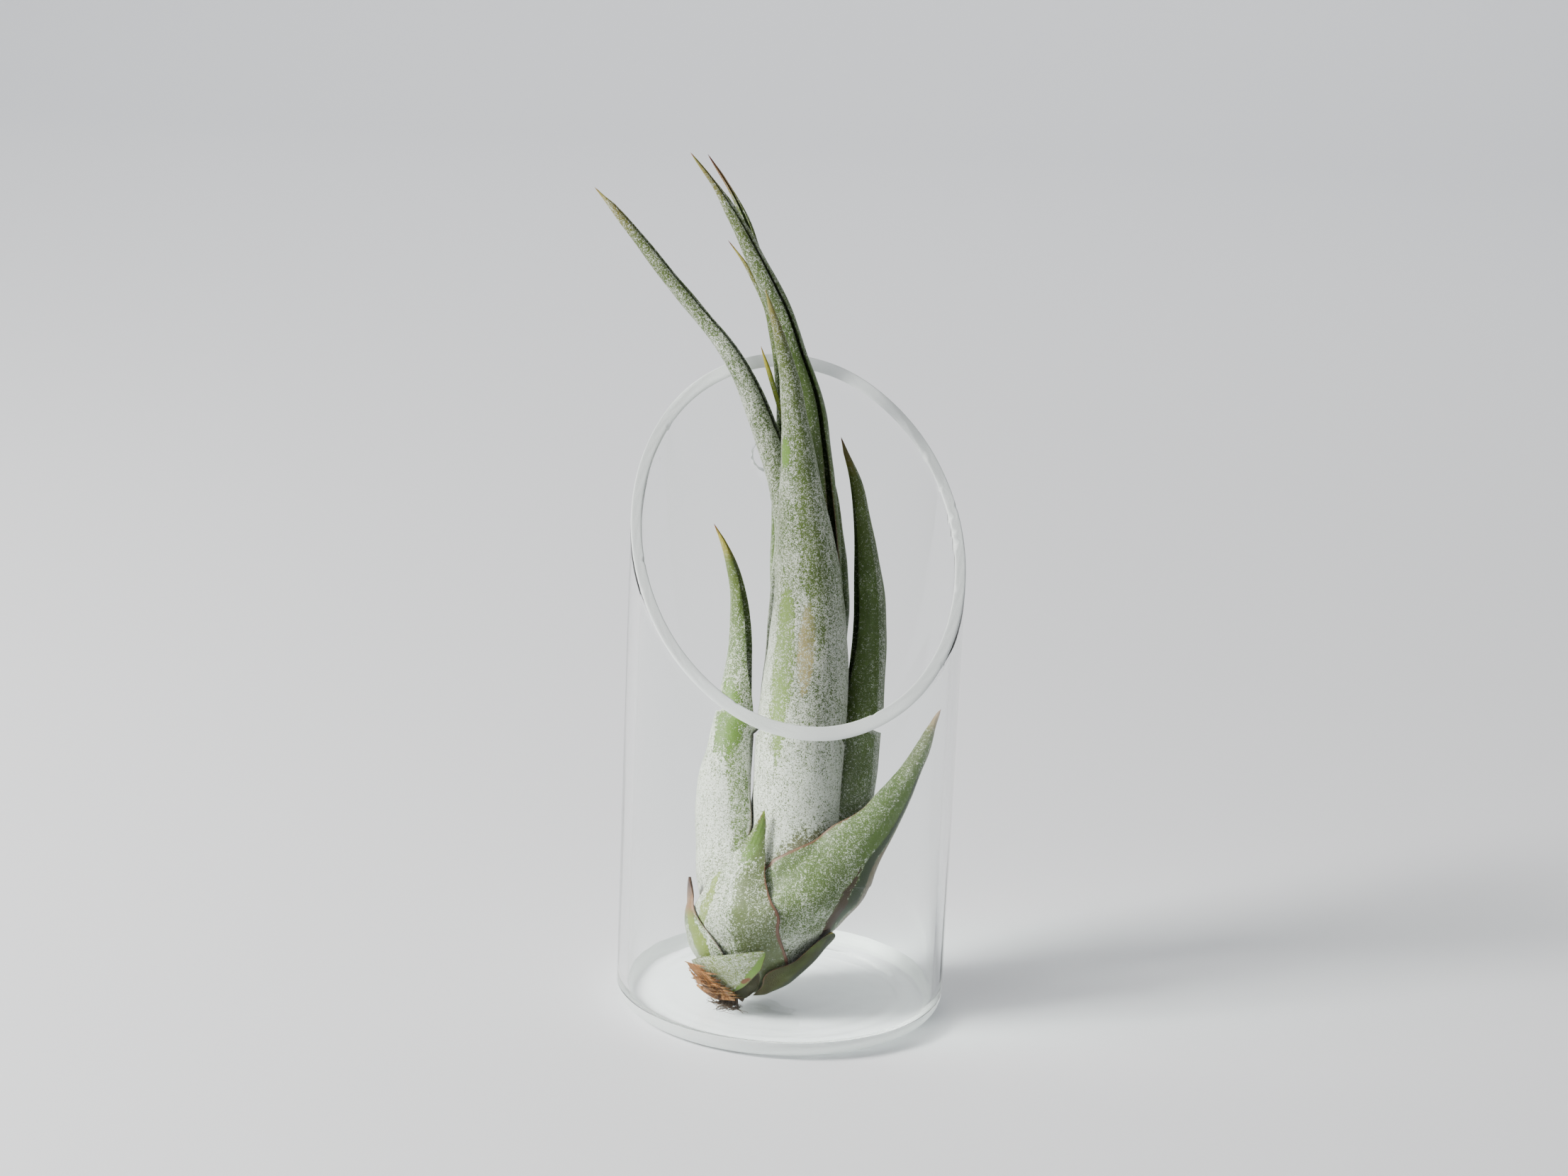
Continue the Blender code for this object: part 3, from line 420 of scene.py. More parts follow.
# living leaf: green flesh under a scurf of pale scales, thin dry margins and a drying tip
def leafSkin(name, look):
    net = Net(name)
    spot = net.place()
    where = net.put("ShaderNodeAttribute", {"attribute_name": "place"}, {}, "Vector")
    along = net.put("ShaderNodeSeparateXYZ", {}, {"Vector": where}, "X")
    edge, inner = along.also("Y"), along.also("Z")
    span = net.put("ShaderNodeAttribute", {"attribute_name": "span"}, {}, "Vector")
    cover = net.put("ShaderNodeSeparateXYZ", {}, {"Vector": span}, "Z")
    lengthwise = net.put("ShaderNodeVectorMath", {"operation": "MULTIPLY"}, {0: span, 1: (0.12, 1.0, 0.0)})
    patch = net.noise(spot, 130.0, 3.0, 0.6)
    fine = net.noise(spot, 1500.0, 2.0, 0.6)
    streak = net.noise(lengthwise, 900.0, 2.0, 0.6)
    aside = net.maths("ABSOLUTE", edge)
    channel = inner * (1.0 - net.smooth(aside + (fine - 0.5) * 0.2, 0.10, 0.75))
    flesh = net.ramp(along, look.get("flesh", greenFlesh))
    flesh = net.blend(net.smooth(patch, 0.45, 0.7) * look.get("mottle", 0.5), flesh, (0.12, 0.19, 0.045))
    inside = look.get("inside", (0.05, 0.11, 0.025))
    flesh = net.blend(channel * look.get("insideShade", 0.55), flesh, inside)
    shade = net.ramp(streak, [(0.3, (0.80, 0.80, 0.80)), (0.7, (1.0, 1.0, 1.0))])
    flesh = net.blend(1.0, flesh, shade, "MULTIPLY")
    cover = cover + (patch - 0.5) * 0.7 + (streak - 0.5) * 0.5
    cover = cover - channel * look.get("bareInside", 0.6)
    # marks: patches of the leaf's own colour, and on leaf_small_front and leaf_front also painted shade
    for mark in look.get("marks", []):
        down = (along - mark["along"]) / mark["long"]
        beside = (edge - mark["edge"] - down * mark.get("slant", 0.0)) / mark["wide"]
        ragged = (fine - 0.5) * 1.4 + (streak - 0.5) * 1.0 + (patch - 0.5) * mark.get("ragged", 1.0)
        mask = 1.0 - net.smooth(down * down + beside * beside + ragged, 0.6, 0.6 + mark.get("soft", 0.4))
        mask = net.clamp(mask * mark["strength"] * (1.0 - inner))
        flesh = net.blend(mask, flesh, mark["colour"])
        cover = cover - mask * mark.get("bare", 0.5)
    scale = net.put("ShaderNodeTexVoronoi", {"feature": "F1"}, {"Vector": spot, "Scale": 3500.0})
    tint = net.put("ShaderNodeSeparateColor", {}, {"Color": scale.also("Color")}, "Red")
    dust = net.noise(spot, 3150.0, 1.0, 0.5)
    hairs = 0.5 - net.maths("ABSOLUTE", dust - 0.5) * 4.0
    fleck = (0.45 - scale) * 0.8 + (hairs - 0.15) * 0.9 + (fine - 0.5) * 1.3
    disc = net.smooth((cover - 0.56) * 0.75 + fleck, -0.19, 0.26)
    film = net.smooth(cover + fleck * 0.3, 0.35, 1.05)
    pale = net.blend(tint, scurfDark, scurf)
    pale = net.blend(net.smooth(cover, 0.2, 1.0) * 0.6, pale, scurf)
    skin = net.blend(film * 0.55, flesh, scurfDark)
    skin = net.blend(disc * 0.9, skin, pale)
    low, mid, high = look["tip"]
    drying = net.smooth(along + (fine - 0.5) * 0.03, low, mid)
    skin = net.blend(drying * 0.9, skin, look.get("tipColour", tipYellow))
    dried = net.smooth(along + (fine - 0.5) * 0.02, mid, high)
    skin = net.blend(dried * 0.95, skin, look.get("endColour", tipBrown))
    stop = look.get("marginEnd", 0.5)
    rim = net.smooth(aside + (streak - 0.5) * 0.02, 0.965, 0.995)
    rim = rim * (1.0 - net.smooth(along, stop, stop + 0.15))
    skin = net.blend(rim * 0.75, skin, (0.11, 0.055, 0.035))
    height = disc * 0.9 + dust * 0.5 + streak * 0.25
    bump = net.put("ShaderNodeBump", {}, {"Height": height, "Strength": 0.7, "Distance": 0.00016}, "Normal")
    surface = net.shader({
        "Base Color": skin, "Roughness": 0.42 + disc * 0.2, "Normal": bump, "IOR": 1.45,
        "Specular IOR Level": look.get("gloss", 0.3), "Sheen Weight": look.get("fuzz", 0.04),
    })
    return net.finish(surface)


leaves = {}
leaves["scale_front"] = dict(
    layer=0, wall=(0.0007, 0.0006), rows=60, columns=25,
    sheath=[(0.0018, -157, 31), (0.003, -151, 39), (0.0046, -144, 46), (0.0068, -140, 50),
            (0.0088, -135, 51), (0.01, -122, 39), (0.0114, -110, 27), (0.0124, -98, 15), (0.0137, -86, 2)],
    blade=[],
    look=dict(
        cover=[(0, 0.4), (0.25, 0.5), (0.6, 0.62), (0.85, 0.55), (1, 0.4)],
        flesh=[(0, (0.188, 0.216, 0.061)), (1, (0.162, 0.238, 0.054))],
        tip=(0.985, 0.995, 1), marginEnd=0.95,
        marks=[
            dict(along=0.55, long=0.6, edge=0.93, wide=0.13, colour=(0.117, 0.216, 0.025), strength=1.0,
                 bare=0.8, soft=0.5, ragged=1.0),
            dict(along=0.3, long=0.05, edge=0.9, wide=0.1, colour=(0.138, 0.048, 0.013), strength=1.0,
                 bare=1.0, ragged=1.0),
        ],
    ),
)
leaves["scale_back"] = dict(
    layer=0, wall=(0.0007, 0.0006), rows=60, columns=25,
    sheath=[(0.003, 88, 50), (0.005, 88, 56), (0.008, 86, 52), (0.011, 84, 40), (0.0135, 82, 22),
            (0.0155, 82, 2)],
    blade=[],
    look=dict(
        cover=[(0, 0.5), (0.4, 0.8), (0.8, 0.8), (1, 0.4)],
        tip=(0.97, 0.99, 1),
    ),
)
leaves["scale_left_dried"] = dict(
    layer=1, wall=(0.0007, 0.0006), rows=60, columns=25,
    sheath=[(0.0024, 176, 60), (0.006, 180, 64), (0.01, 188, 56), (0.014, 193, 44)],
    blade=[(0.007, 0.019, 0, 0.0178, 192, 27), (0.0077, 0.024, 0.0004, 0.0187, 195, 11),
           (0.0085, 0.027, 0.0008, 0.0198, 197, 4.5), (0.009, 0.029, 0.001, 0.0206, 198, 0.8)],
    look=dict(
        cover=[(0, 0.45), (0.4, 0.75), (0.62, 0.65), (0.74, 0.1), (1, 0)],
        tip=(0.68, 0.78, 0.95), tipColour=(0.175, 0.089, 0.045), endColour=(0.04, 0.019, 0.012),
        marginEnd=0.8,
        marks=[
            dict(along=0.58, long=0.26, edge=0.56, wide=0.24, slant=0.14, colour=(0.127, 0.175, 0.025),
                 strength=1.0, bare=0.7, soft=0.5, ragged=0.8),
        ],
    ),
)
leaves["scale_under_right"] = dict(
    layer=1, wall=(0.0007, 0.0006), rows=60, columns=25,
    sheath=[(0.0024, -7, 61), (0.005, -10, 62), (0.0075, -12, 64), (0.009, -10, 60), (0.0108, -8, 45),
            (0.0134, -14, 32), (0.0162, -24, 15), (0.018, -30, 2)],
    blade=[],
    look=dict(
        cover=[(0, -0.5), (0.35, -0.2), (0.6, -0.4), (1, -0.5)],
        flesh=[(0, (0.048, 0.042, 0.013)), (1, (0.032, 0.04, 0.009))],
        mottle=0.3, gloss=0.08, fuzz=0, tip=(0.97, 0.99, 1), marginEnd=0.95,
        marks=[
            dict(along=0.45, long=0.6, edge=-0.15, wide=0.22, colour=(0.016, 0.023, 0.005), strength=1.0,
                 bare=0.7, ragged=1.2),
        ],
    ),
)
leaves["scale_under_front"] = dict(
    layer=1, wall=(0.0007, 0.0006), rows=60, columns=25,
    sheath=[(0.0016, -97, 21), (0.0024, -96, 21), (0.0046, -94, 17), (0.007, -95, 14), (0.0092, -96, 9),
            (0.0108, -97, 2)],
    blade=[],
    look=dict(
        cover=[(0, -0.9), (1, -0.8)],
        flesh=[(0, (0.025, 0.023, 0.005)), (1, (0.018, 0.012, 0.004))],
        mottle=0.1, gloss=0.08, fuzz=0, tip=(0.97, 0.99, 1), marginEnd=0.95,
    ),
)
leaves["leaf_small_front"] = dict(
    layer=2, wall=(0.0007, 0.0007), rows=90, columns=37,
    sheath=[(0.0029, -120, 92), (0.006, -119, 86), (0.01, -118, 68), (0.014, -118, 52), (0.018, -119, 42)],
    blade=[(0.008, 0.022, 0.0002, 0.0189, -119, 36), (0.0066, 0.026, 0.0016, 0.0162, -117, 32),
           (0.0048, 0.03, 0.0035, 0.0127, -113, 32), (0.0043, 0.034, 0.0054, 0.009, -104, 29),
           (0.0042, 0.038, 0.0076, 0.006, -92, 22), (0.005, 0.042, 0.0096, 0.0034, -86, 19),
           (0.0058, 0.0452, 0.0118, 0.0012, -88, 12)],
    look=dict(
        cover=[(0, 0.4), (0.2, 0.5), (0.35, 0.68), (0.6, 0.8), (0.76, 0.7), (0.9, 0.2), (1, 0.1)],
        tip=(0.97, 0.99, 1), tipColour=(0.156, 0.223, 0.032), endColour=(0.156, 0.156, 0.045), marginEnd=0.7,
        marks=[
            dict(along=0.52, long=0.16, edge=-0.62, wide=0.14, colour=(0.162, 0.216, 0.048), strength=0.9,
                 bare=0.5, soft=0.7, ragged=1.4),
            dict(along=0.86, long=0.14, edge=0.15, wide=0.7, colour=(0.084, 0.15, 0.025), strength=0.9,
                 bare=0.5, soft=0.8, ragged=1.4),
            dict(along=0.58, long=0.14, edge=0.25, wide=0.2, colour=(0.122, 0.168, 0.054), strength=0.7,
                 bare=0.3, ragged=1.8, soft=0.9),
            # painted shade: the right half of the leaf is darkened where it turns away from the key light
            dict(along=0.36, long=0.5, edge=0.74, wide=0.6, colour=(0.072, 0.093, 0.032), strength=0.9,
                 bare=0.5, ragged=0.9, soft=0.9),
            dict(along=0.38, long=0.42, edge=1.0, wide=0.07, colour=(0.122, 0.054, 0.034), strength=1.0,
                 bare=0.9, ragged=0.2, soft=0.4),
        ],
    ),
)
leaves["leaf_lower_right"] = dict(
    layer=3, wall=(0.0008, 0.0009), rows=120, columns=41, turn=0.028,
    sheath=[(0.0036, -35, 112), (0.007, -35, 104), (0.011, -36, 96), (0.0145, -37, 89)],
    blade=[(0.0071, 0.0182, 0.0002, 0.0165, -40, 88), (0.0087, 0.0215, 0.0006, 0.0176, -44, 90),
           (0.0116, 0.0243, 0.0013, 0.0172, -47, 92), (0.0142, 0.0266, 0.0019, 0.0158, -49, 93),
           (0.0158, 0.0283, 0.0022, 0.0148, -50, 94), (0.0212, 0.034, 0.0046, 0.011, -50, 89),
           (0.0266, 0.0392, 0.0066, 0.008, -46, 86), (0.031, 0.0438, 0.0076, 0.0056, -42, 90),
           (0.0345, 0.0486, 0.008, 0.0041, -40, 104), (0.0378, 0.0538, 0.0078, 0.0028, -40, 114),
           (0.041, 0.06, 0.0072, 0.0018, -40, 125), (0.0434, 0.0653, 0.0066, 0.001, -40, 135),
           (0.0453, 0.0696, 0.006, 0.0003, -40, 140)],
    look=dict(
        cover=[(0, 0.5), (0.15, 0.7), (0.24, 0.72), (0.3, 0.45), (0.42, 0.38), (0.6, 0.3), (0.7, 0.3),
               (0.85, 0.32), (1, 0.25)],
        tip=(0.93, 0.97, 1), tipColour=(0.305, 0.231, 0.117), endColour=(0.262, 0.156, 0.102),
        marginEnd=0.62,
        marks=[
            dict(along=0.45, long=0.36, edge=0.52, wide=0.34, colour=(0.138, 0.098, 0.054), strength=0.9,
                 bare=0.25, soft=0.3),
            dict(along=0.56, long=0.34, edge=0.13, wide=0.13, slant=-0.05, colour=(0.016, 0.032, 0.005),
                 strength=1.0, bare=0.75, ragged=1.3, soft=0.4),
            dict(along=0.36, long=0.17, edge=0.05, wide=0.07, slant=-0.08, colour=(0.042, 0.023, 0.009),
                 strength=1.0, bare=0.9, ragged=2.0, soft=0.4),
            dict(along=0.72, long=0.22, edge=-0.12, wide=0.2, colour=(0.068, 0.122, 0.019), strength=0.8,
                 bare=0.35, ragged=1.2),
            dict(along=0.45, long=0.22, edge=-1.0, wide=0.05, colour=(0.107, 0.058, 0.03), strength=1.0,
                 bare=0.9, ragged=0.2, soft=0.4),
        ],
    ),
)
leaves["leaf_back"] = dict(
    layer=4, wall=(0.0008, 0.0009), rows=110, columns=29,
    sheath=[(0.0049, 92, 105), (0.009, 92, 100), (0.014, 92, 80), (0.02, 92, 55)],
    blade=[(0.011, 0.029, -0.0064, 0.0136, 88, 46), (0.0128, 0.041, -0.0126, 0.0088, 88, 76),
           (0.013, 0.053, -0.0172, 0.0056, 92, 100), (0.0134, 0.064, -0.0202, 0.0036, 92, 114),
           (0.0138, 0.075, -0.0222, 0.0019, 92, 126), (0.014, 0.083, -0.0242, 0.0003, 92, 128)],
    look=dict(
        cover=[(0, 0.7), (0.4, 1), (0.8, 0.7), (1, 0.4)],
        tip=(0.93, 0.98, 1), tipColour=(0.223, 0.188, 0.061), endColour=(0.156, 0.08, 0.032),
    ),
)
leaves["leaf_left"] = dict(
    layer=5, wall=(0.0008, 0.001), rows=150, columns=37,
    sheath=[(0.0061, 186, 110), (0.01, 186, 106), (0.015, 187, 98), (0.02, 188, 90)],
    blade=[(0.0064, 0.026, -0.0003, 0.015, 189, 84), (0.0032, 0.031, -0.0008, 0.0126, 190, 84),
           (0.0002, 0.037, -0.0014, 0.0099, 192, 92), (-0.0014, 0.0448, -0.0012, 0.0087, 194, 112),
           (-0.0022, 0.051, -0.0008, 0.0076, 194, 128), (-0.0022, 0.059, -0.0005, 0.0059, 190, 142),
           (-0.0016, 0.0677, -0.0005, 0.0047, 184, 140), (-0.0008, 0.077, -0.0005, 0.0039, 172, 118),
           (-0.0012, 0.086, -0.0005, 0.0029, 164, 122), (-0.0022, 0.0938, 0, 0.0021, 160, 126),
           (-0.0042, 0.101, 0.0008, 0.0014, 160, 130), (-0.0084, 0.1097, 0.0024, 0.0003, 160, 130)],
    look=dict(
        cover=[(0, 0.6), (0.2, 0.85), (0.4, 0.95), (0.52, 0.88), (0.62, 0.72), (0.74, 0.4), (0.86, 0.25),
               (0.94, 0.1), (1, 0)],
        tip=(0.91, 0.97, 1), tipColour=(0.305, 0.262, 0.038), endColour=(0.141, 0.032, 0.017),
        marks=[
            dict(along=0.46, long=0.15, edge=0.7, wide=0.14, slant=-0.2, colour=(0.089, 0.15, 0.025),
                 strength=0.8, bare=0.45, ragged=1.8, soft=0.9),
            dict(along=0.6, long=0.08, edge=0.45, wide=0.28, colour=(0.08, 0.15, 0.021), strength=0.95,
                 bare=0.6, ragged=1.4, soft=0.8),
            dict(along=0.78, long=0.14, edge=-0.05, wide=0.16, colour=(0.072, 0.15, 0.019), strength=0.9,
                 bare=0.5, ragged=1.8, soft=0.8),
        ],
    ),
)
leaves["leaf_front"] = dict(
    layer=6, wall=(0.0008, 0.0012), rows=210, columns=41,
    sheath=[(0.0076, -90, 112), (0.01, -90, 108), (0.015, -90, 100), (0.02, -90, 92)],
    blade=[(0.0104, 0.026, 0.0004, 0.0139, -90, 80), (0.0116, 0.031, 0.0014, 0.0124, -90, 72),
           (0.0129, 0.0375, 0.0024, 0.0107, -90, 70), (0.0131, 0.051, 0.0024, 0.0104, -90, 76),
           (0.0134, 0.063, 0.0025, 0.0103, -90, 86), (0.014, 0.075, 0.0031, 0.0098, -90, 96),
           (0.0141, 0.09, 0.0045, 0.0084, -90, 104), (0.0132, 0.102, 0.0064, 0.0072, -90, 112),
           (0.0111, 0.117, 0.0095, 0.0051, -92, 124), (0.0093, 0.1315, 0.0125, 0.0033, -94, 136),
           (0.0069, 0.144, 0.0155, 0.0022, -96, 144), (0.0039, 0.154, 0.0182, 0.0011, -98, 150),
           (0.001, 0.1622, 0.0206, 0.0003, -98, 150)],
    dents=[dict(reach=0.083, long=0.010, arc=0.0008, wide=0.0035, fold=0.0009, depth=0.00016)],
    look=dict(
        cover=[(0, 0.4), (0.12, 0.55), (0.2, 0.85), (0.32, 0.92), (0.42, 0.78), (0.52, 0.78), (0.6, 0.55),
               (0.7, 0.58), (0.8, 0.48), (0.88, 0.5), (0.94, 0.35), (1, 0.25)],
        tip=(0.95, 0.99, 1), tipColour=(0.216, 0.209, 0.054), endColour=(0.188, 0.127, 0.038), marginEnd=0.3,
        marks=[
            # painted shadow: the foot of the leaf is darkened where leaf_small_front and leaf_lower_right
            # shade it
            dict(along=0.18, long=0.07, edge=0.3, wide=0.6, colour=(0.107, 0.107, 0.054), strength=0.9,
                 bare=0.75, ragged=0.6, soft=0.8),
            dict(along=0.5, long=0.06, edge=-0.02, wide=0.12, colour=(0.352, 0.296, 0.127), strength=0.9,
                 bare=0.3, soft=0.7),
            dict(along=0.77, long=0.022, edge=-0.36, wide=0.16, colour=(0.117, 0.223, 0.034), strength=0.8,
                 bare=0.7, soft=0.7),
            dict(along=0.46, long=0.12, edge=-0.38, wide=0.18, colour=(0.138, 0.216, 0.045), strength=0.9,
                 bare=0.45, ragged=1.6, soft=0.8),
            dict(along=0.66, long=0.16, edge=0.12, wide=0.22, colour=(0.098, 0.144, 0.034), strength=0.6,
                 bare=0.25, ragged=1.8, soft=0.9),
        ],
    ),
)
leaves["leaf_right"] = dict(
    layer=7, wall=(0.0008, 0.0011), rows=170, columns=37,
    sheath=[(0.009, 12, 112), (0.012, 12, 108), (0.017, 12, 98), (0.022, 26, 62)],
    blade=[(0.0136, 0.029, -0.0016, 0.0124, 32, 42), (0.0178, 0.036, -0.0034, 0.0106, 27, 52),
           (0.0209, 0.0425, -0.0044, 0.0096, 18, 73), (0.0228, 0.05, -0.0048, 0.0087, 12, 90),
           (0.0246, 0.058, -0.005, 0.0074, 12, 98), (0.0263, 0.068, -0.0052, 0.0061, 12, 110),
           (0.0274, 0.077, -0.0052, 0.0052, 11, 120), (0.0279, 0.088, -0.0052, 0.0044, 10, 128),
           (0.0274, 0.0976, -0.005, 0.0038, 10, 134), (0.0257, 0.111, -0.005, 0.0023, 10, 140),
           (0.0234, 0.122, -0.0048, 0.0014, 10, 144), (0.0196, 0.1314, -0.0044, 0.0003, 10, 144)],
    tuck=(0.20, 0.56, 42, 0.0014),
    look=dict(
        cover=[(0, 0.4), (0.25, 0.35), (0.45, 0.22), (0.6, 0.14), (0.85, 0.14), (1, 0.1)],
        tip=(0.93, 0.975, 1), tipColour=(0.102, 0.089, 0.03), endColour=(0.08, 0.032, 0.017),
        marks=[
            dict(along=0.5, long=0.5, edge=-0.38, wide=0.14, colour=(0.08, 0.117, 0.045), strength=1.0,
                 bare=-0.35, ragged=1.6),
        ],
    ),
)
leaves["leaf_left_long"] = dict(
    layer=9, wall=(0.0008, 0.0011), rows=230, columns=25, turn=0.122,
    sheath=[(0.0123, 176, 106), (0.015, 176, 96), (0.018, 176, 86)],
    blade=[(0.008, 0.025, -0.001, 0.0086, 176, 74), (0.0078, 0.033, -0.0036, 0.0076, 176, 72),
           (0.0076, 0.046, -0.0058, 0.005, 172, 96), (0.0076, 0.062, -0.0064, 0.0044, 166, 116),
           (0.0084, 0.08, -0.0065, 0.0041, 166, 130), (0.0089, 0.097, -0.0062, 0.0039, 166, 140),
           (0.0089, 0.109, -0.0056, 0.0036, 164, 148), (0.0073, 0.1176, -0.0048, 0.0035, 162, 154),
           (0.0052, 0.1244, -0.0042, 0.0033, 160, 158), (0.0023, 0.1317, -0.0032, 0.0031, 158, 162),
           (-0.0027, 0.1428, -0.002, 0.0026, 154, 165), (-0.0072, 0.1502, -0.0018, 0.0021, 152, 166),
           (-0.0135, 0.1575, -0.0022, 0.0018, 150, 166), (-0.0202, 0.1648, -0.002, 0.0018, 150, 166),
           (-0.0264, 0.1721, -0.0018, 0.0015, 150, 166), (-0.0328, 0.1794, -0.0016, 0.0011, 150, 166),
           (-0.0397, 0.1868, -0.0014, 0.0003, 150, 165)],
    look=dict(
        cover=[(0, 0.4), (0.5, 0.55), (0.7, 0.7), (0.82, 0.5), (0.9, 0.5), (1, 0.45)],
        tip=(0.97, 0.99, 1), tipColour=(0.305, 0.262, 0.061), endColour=(0.188, 0.102, 0.032),
    ),
)
leaves["leaf_tall"] = dict(
    layer=10, wall=(0.0008, 0.0011), rows=230, columns=25, turn=0.15,
    sheath=[(0.014, 185, 80), (0.016, 185, 64), (0.018, 185, 48)],
    blade=[(0.0108, 0.026, 0.0014, 0.0067, 186, 60), (0.014, 0.035, 0.0008, 0.0058, 176, 90),
           (0.0154, 0.048, -0.0002, 0.0052, 156, 112), (0.0158, 0.062, -0.0002, 0.005, 148, 128),
           (0.0168, 0.08, 0.0002, 0.005, 140, 145), (0.0166, 0.096, 0.0004, 0.005, 134, 158),
           (0.0158, 0.106, 0.0008, 0.005, 132, 165), (0.0144, 0.118, 0.0016, 0.0048, 132, 168),
           (0.013, 0.129, 0.0028, 0.0045, 130, 170), (0.0112, 0.1395, 0.0044, 0.004, 130, 170),
           (0.0074, 0.1504, 0.0068, 0.0033, 130, 170), (0.0047, 0.158, 0.0088, 0.0028, 130, 170),
           (0.0014, 0.1645, 0.011, 0.0024, 130, 170), (-0.0028, 0.172, 0.0136, 0.002, 130, 170),
           (-0.0066, 0.1784, 0.016, 0.0015, 130, 170), (-0.0112, 0.185, 0.0186, 0.0008, 130, 168),
           (-0.017, 0.192, 0.022, 0.0003, 130, 165)],
    look=dict(
        cover=[(0, 0.3), (0.45, 0.2), (0.6, 0.15), (0.7, 0.1), (0.75, 0.3), (0.82, 0.42), (0.9, 0.45),
               (1, 0.3)],
        insideShade=0.15, bareInside=0.0, inside=(0.107, 0.15, 0.065), tip=(0.96, 0.99, 1),
        tipColour=(0.262, 0.246, 0.061), endColour=(0.305, 0.156, 0.102),
    ),
)
leaves["leaf_back_right"] = dict(
    layer=11, wall=(0.0008, 0.0009), rows=130, columns=25,
    sheath=[(0.0158, 28, 84), (0.018, 28, 70)],
    blade=[(0.0138, 0.026, -0.0034, 0.0048, 22, 56), (0.0178, 0.035, -0.007, 0.0042, 34, 78),
           (0.0192, 0.05, -0.0094, 0.0037, 50, 100), (0.0194, 0.066, -0.0102, 0.0036, 60, 120),
           (0.0198, 0.082, -0.0106, 0.0036, 60, 130), (0.0202, 0.094, -0.0106, 0.0033, 60, 138),
           (0.0196, 0.106, -0.0106, 0.0025, 60, 144), (0.0184, 0.117, -0.0106, 0.0016, 60, 144),
           (0.0164, 0.129, -0.0106, 0.0003, 60, 144)],
    look=dict(
        cover=[(0, 0.2), (0.5, 0.2), (1, 0.2)],
        tip=(0.94, 0.98, 1),
    ),
)
leaves["leaf_back_tall"] = dict(
    layer=12, wall=(0.0008, 0.0009), rows=200, columns=25,
    sheath=[(0.0177, 88, 58), (0.019, 88, 54)],
    blade=[(0.01, 0.025, -0.0046, 0.004, 92, 50), (0.0116, 0.033, -0.0092, 0.0041, 90, 80),
           (0.0128, 0.045, -0.0128, 0.0037, 100, 108), (0.0128, 0.062, -0.0143, 0.0037, 100, 120),
           (0.0128, 0.08, -0.0144, 0.0037, 100, 128), (0.0128, 0.1, -0.013, 0.0036, 100, 136),
           (0.0124, 0.12, -0.0097, 0.0033, 100, 142), (0.0118, 0.13, -0.0074, 0.003, 100, 146),
           (0.0106, 0.14, -0.005, 0.0027, 100, 148), (0.008, 0.15, -0.0033, 0.0023, 100, 152),
           (0.0055, 0.157, -0.0022, 0.002, 100, 152), (0.0017, 0.165, -0.0012, 0.0018, 100, 156),
           (-0.0018, 0.173, -0.0004, 0.0014, 100, 156), (-0.0042, 0.1795, 0.0002, 0.0011, 100, 156),
           (-0.0076, 0.186, 0.001, 0.0008, 100, 156), (-0.0138, 0.195, 0.002, 0.0003, 100, 156)],
    look=dict(
        cover=[(0, 0.3), (0.5, 0.35), (1, 0.25)],
        tip=(0.93, 0.97, 1), tipColour=(0.188, 0.102, 0.045), endColour=(0.102, 0.032, 0.026),
    ),
)
leaves["leaf_back_thin"] = dict(
    layer=8, wall=(0.0007, 0.0007), rows=180, columns=25,
    sheath=[(0.0105, 125, 56), (0.013, 125, 50), (0.018, 125, 42)],
    blade=[(0.0058, 0.024, -0.0045, 0.0062, 125, 44), (0.0048, 0.03, -0.0092, 0.0034, 125, 62),
           (0.005, 0.036, -0.0118, 0.0023, 130, 90), (0.0064, 0.046, -0.0134, 0.0018, 150, 116),
           (0.0068, 0.064, -0.0138, 0.0018, 150, 124), (0.0068, 0.084, -0.0138, 0.0018, 150, 134),
           (0.0065, 0.104, -0.0124, 0.0019, 150, 140), (0.0062, 0.122, -0.01, 0.0019, 150, 146),
           (0.0061, 0.138, -0.007, 0.0016, 150, 150), (0.0047, 0.1475, -0.0056, 0.0014, 150, 154),
           (0.0032, 0.1548, -0.005, 0.0012, 150, 156), (0.0015, 0.1606, -0.0045, 0.001, 150, 156),
           (-0.0034, 0.1695, -0.004, 0.0006, 150, 156), (-0.0082, 0.176, -0.0038, 0.0003, 150, 156)],
    look=dict(
        cover=[(0, 0.3), (0.5, 0.35), (1, 0.25)],
        tip=(0.95, 0.98, 1),
    ),
)
leaves["leaf_centre_small"] = dict(
    layer=13, wall=(0.0006, 0.0006), rows=140, columns=25,
    sheath=[],
    blade=[(0.0069, 0.019, 0, 0.002, 90, 62), (0.0082, 0.0215, -0.0016, 0.0017, 90, 66),
           (0.0106, 0.026, -0.0046, 0.0015, 90, 80), (0.0118, 0.033, -0.0084, 0.0014, 100, 100),
           (0.0128, 0.045, -0.0118, 0.0013, 120, 120), (0.0128, 0.064, -0.0132, 0.0013, -60, 130),
           (0.0128, 0.084, -0.0128, 0.0013, -60, 140), (0.0127, 0.1, -0.0108, 0.0012, -60, 150),
           (0.0132, 0.108, -0.0086, 0.001, -60, 150), (0.013, 0.113, -0.0069, 0.0009, -60, 150),
           (0.011, 0.12, -0.005, 0.0009, -60, 150), (0.008, 0.13, -0.0048, 0.0008, -60, 150),
           (0.005, 0.1382, -0.0042, 0.0006, -60, 150), (0.0025, 0.1456, -0.0034, 0.0005, -60, 150),
           (0.0002, 0.1516, -0.003, 0.0003, -60, 150)],
    look=dict(
        cover=[(0, 0.25), (0.5, 0.25), (0.85, 0.15), (1, 0.05)],
        flesh=[(0, (0.117, 0.223, 0.032)), (0.7, (0.138, 0.262, 0.034)), (1, (0.305, 0.342, 0.045))],
        tip=(0.93, 0.975, 1), tipColour=(0.429, 0.376, 0.045), endColour=(0.262, 0.156, 0.032),
    ),
)


